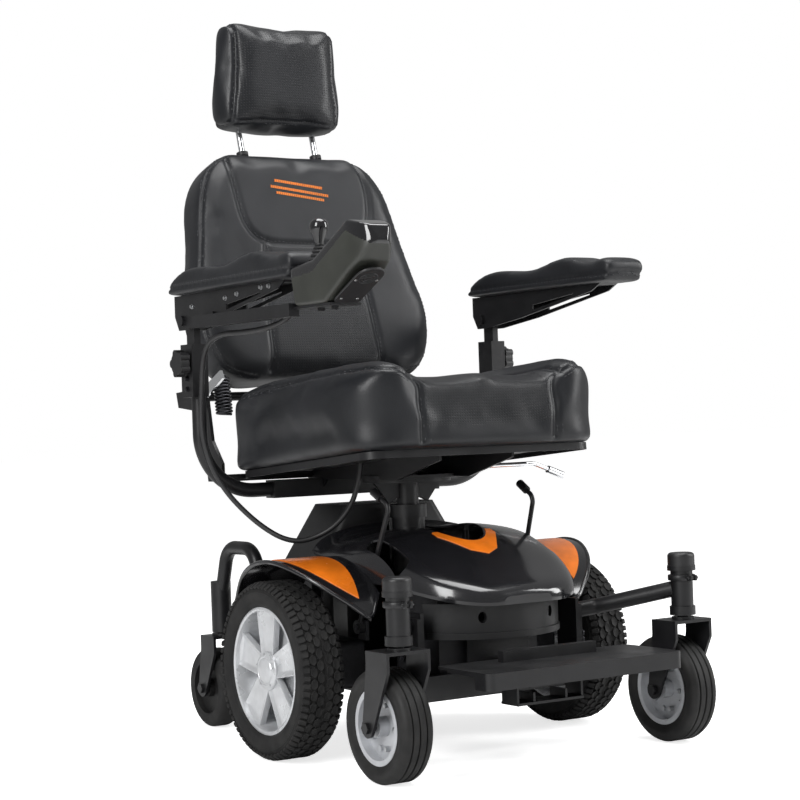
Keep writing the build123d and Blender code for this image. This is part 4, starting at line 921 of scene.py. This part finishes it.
fitting_slot = "powder_black"
for side, sx in SIDES:
    ring = turned("clamp_ring", [(18, 264), (21.6, 264), (22.4, 265), (22.4, 272), (21.6, 273),
                                 (18, 273)], at(sx * 275, -339, 0), "Z", 48, True)
    ears = [block("ear", at(sx * 275 + dx, -339 - 24, 268.5), (4, 13, 9), 0.0008)
            for dx in (-5, 5)]
    pinch = rod("pinch", at(sx * 275 - 11, -365, 268.5), at(sx * 275 + 11, -365, 268.5),
                0.0024, 12)
    fitted(joined(f"stem_clamp_{side}", [ring, pinch] + ears), POWDER, "base", fitting_slot)
    fender_edge = [at(sx * x, y, 144 + math.sqrt(max(174 ** 2 - y * y, 0))) for x, y in
                   ((285, 148), (296, 105), (303, 60), (303, 10), (299, -40), (280, -88),
                    (254, -120), (230, -138), (205, -150), (186, -136), (171, -122))]
    line = bpy.data.curves.new("fender_edge", "CURVE")
    line.dimensions = "3D"
    line.bevel_depth = 0.0038
    line.bevel_resolution = 3
    line.use_fill_caps = True
    bead = line.splines.new("POLY")
    run = curved(fender_edge, 0.006)
    bead.points.add(len(run) - 1)
    for point, place in zip(bead.points, run):
        point.co = (*place, 1)
    rolled = bpy.data.objects.new("fender_edge", line)
    bpy.context.collection.objects.link(rolled)
    only(rolled)
    bpy.ops.object.convert(target="MESH")
    rolled = bpy.context.object
    rolled.name = rolled.data.name = f"fender_edge_{side}"
    fitted(smoothed(rolled, 60), SHROUD, "base", "shroud_black")
    out = (sx, 0, 0)
    bolted(f"arm_bolts_{side}", [(at(sx * 168, y, z), out, 0.0055)
                                 for y in (-206, -178) for z in (168, 178)],
           BLACK_BOLT, "base", fitting_slot)
    bolted(f"receiver_bolts_{side}", [(at(sx * 326, 218, z), out, 0.004) for z in (604, 622)],
           BLACK_BOLT, f"arm_support_{side}", fitting_slot)
    bolted(f"bracket_screws_{side}", [(at(sx * 331, y, z), out, 0.0034)
                                      for y, z in ((60, 748), (20, 752), (-60, 757),
                                                   (-86, 757), (180, 742))],
           ZINC, f"armrest_{side}", fitting_slot)
    bolted(f"recliner_bolts_{side}", [(at(sx * 261.2, 318, 606), out, 0.0045)],
           ZINC, "backrest", fitting_slot)

star = turned("star", [(0, 0), (9, 0), (9.5, 1), (9.5, 9), (8.5, 10), (0, 10)],
              at(0, 28, 446.6), "Z", 32)
fitted(star, ZINC, "seat", "chrome")
star.name = star.data.name = "swivel_cap_nut"

# recline spring behind the seat, on the right
turns = []
for i in range(260):
    angle = i * 2 * math.pi / 22
    turns.append(at(-226 + 13 * math.cos(angle), 276 + 0.10 * i * 0.4,
                    560 + i * 0.26) + Vector((0, 0.013 * math.sin(angle), 0)))
coil_line = bpy.data.curves.new("coil", "CURVE")
coil_line.dimensions = "3D"
coil_line.bevel_depth = 0.0026
coil_line.bevel_resolution = 2
coil_line.use_fill_caps = True
bead = coil_line.splines.new("POLY")
bead.points.add(len(turns) - 1)
for point, place in zip(bead.points, turns):
    point.co = (*place, 1)
coil = bpy.data.objects.new("recline_spring", coil_line)
bpy.context.collection.objects.link(coil)
only(coil)
bpy.ops.object.convert(target="MESH")
coil = bpy.context.object
coil.name = coil.data.name = "recline_spring"
fitted(smoothed(coil, 60), BLACK_BOLT, "backrest", fitting_slot)

# ---------------------------------------------------------------- floor, lights, camera
bpy.ops.mesh.primitive_plane_add(size=60, location=(0, 0, -0.0005))
floor = bpy.context.object
floor.name = "floor"
floor_paint = finish("floor_paint", (0.9, 0.9, 0.9), 0.85, specular=0.1)
tinted(floor_paint, 0.8, (0.895, 0.895, 0.895), (0.905, 0.905, 0.905))
shader_of(floor_paint).inputs["Emission Color"].default_value = (1, 1, 1, 1)
glow = floor_paint.node_tree.nodes.new("ShaderNodeMath")
glow.operation = "MULTIPLY"
glow.inputs[1].default_value = 0.74
floor_paint.node_tree.links.new(
    floor_paint.node_tree.nodes.new("ShaderNodeLightPath").outputs["Is Camera Ray"],
    glow.inputs[0])
floor_paint.node_tree.links.new(glow.outputs[0],
                                shader_of(floor_paint).inputs["Emission Strength"])
floor.data.materials.append(floor_paint)

world = bpy.data.worlds.new("studio")
bpy.context.scene.world = world
world.use_nodes = True
world.node_tree.nodes["Background"].inputs["Color"].default_value = (1, 1, 1, 1)
sky = world.node_tree.nodes["Background"].inputs["Strength"]
seen = world.node_tree.nodes.new("ShaderNodeLightPath").outputs["Is Camera Ray"]
spread = world.node_tree.nodes.new("ShaderNodeMapRange")
spread.inputs["To Min"].default_value = 0.3
spread.inputs["To Max"].default_value = 1.0
world.node_tree.links.new(seen, spread.inputs["Value"])
world.node_tree.links.new(spread.outputs["Result"], sky)


def softbox(name, place, aim_at, width, height, power):
    light = bpy.data.lights.new(name, "AREA")
    light.shape = "RECTANGLE"
    light.size, light.size_y = width, height
    light.energy = power
    lamp = bpy.data.objects.new(name, light)
    bpy.context.collection.objects.link(lamp)
    lamp.location = place
    lamp.rotation_euler = (Vector(aim_at) - Vector(place)).to_track_quat("-Z", "Y").to_euler()


softbox("left_softbox", (-3.2, -1.6, 2.2), (0, 0, 0.7), 1.2, 2.6, 110)
softbox("right_softbox", (3.0, -1.8, 1.9), (0, 0, 0.7), 1.0, 2.6, 80)
softbox("top_softbox", (0.2, -0.2, 3.2), (0, 0, 0.6), 2.0, 2.0, 80)

camera_data = bpy.data.cameras.new("camera")
camera_data.lens = 89.0
camera_data.sensor_width = 36.0
camera = bpy.data.objects.new("camera", camera_data)
bpy.context.collection.objects.link(camera)
looks = Vector((0.54396689, 0.83905643, 0.00918292))
across = Vector((0.83876031, -0.54339538, -0.0346786))
upward = across.cross(looks)
turn = Matrix((across, upward, -looks)).transposed()
camera.matrix_world = Matrix.Translation((-1.8506, -2.8264, 0.5425)) @ turn.to_4x4()
bpy.context.scene.camera = camera
bpy.context.scene.view_settings.view_transform = "Standard"
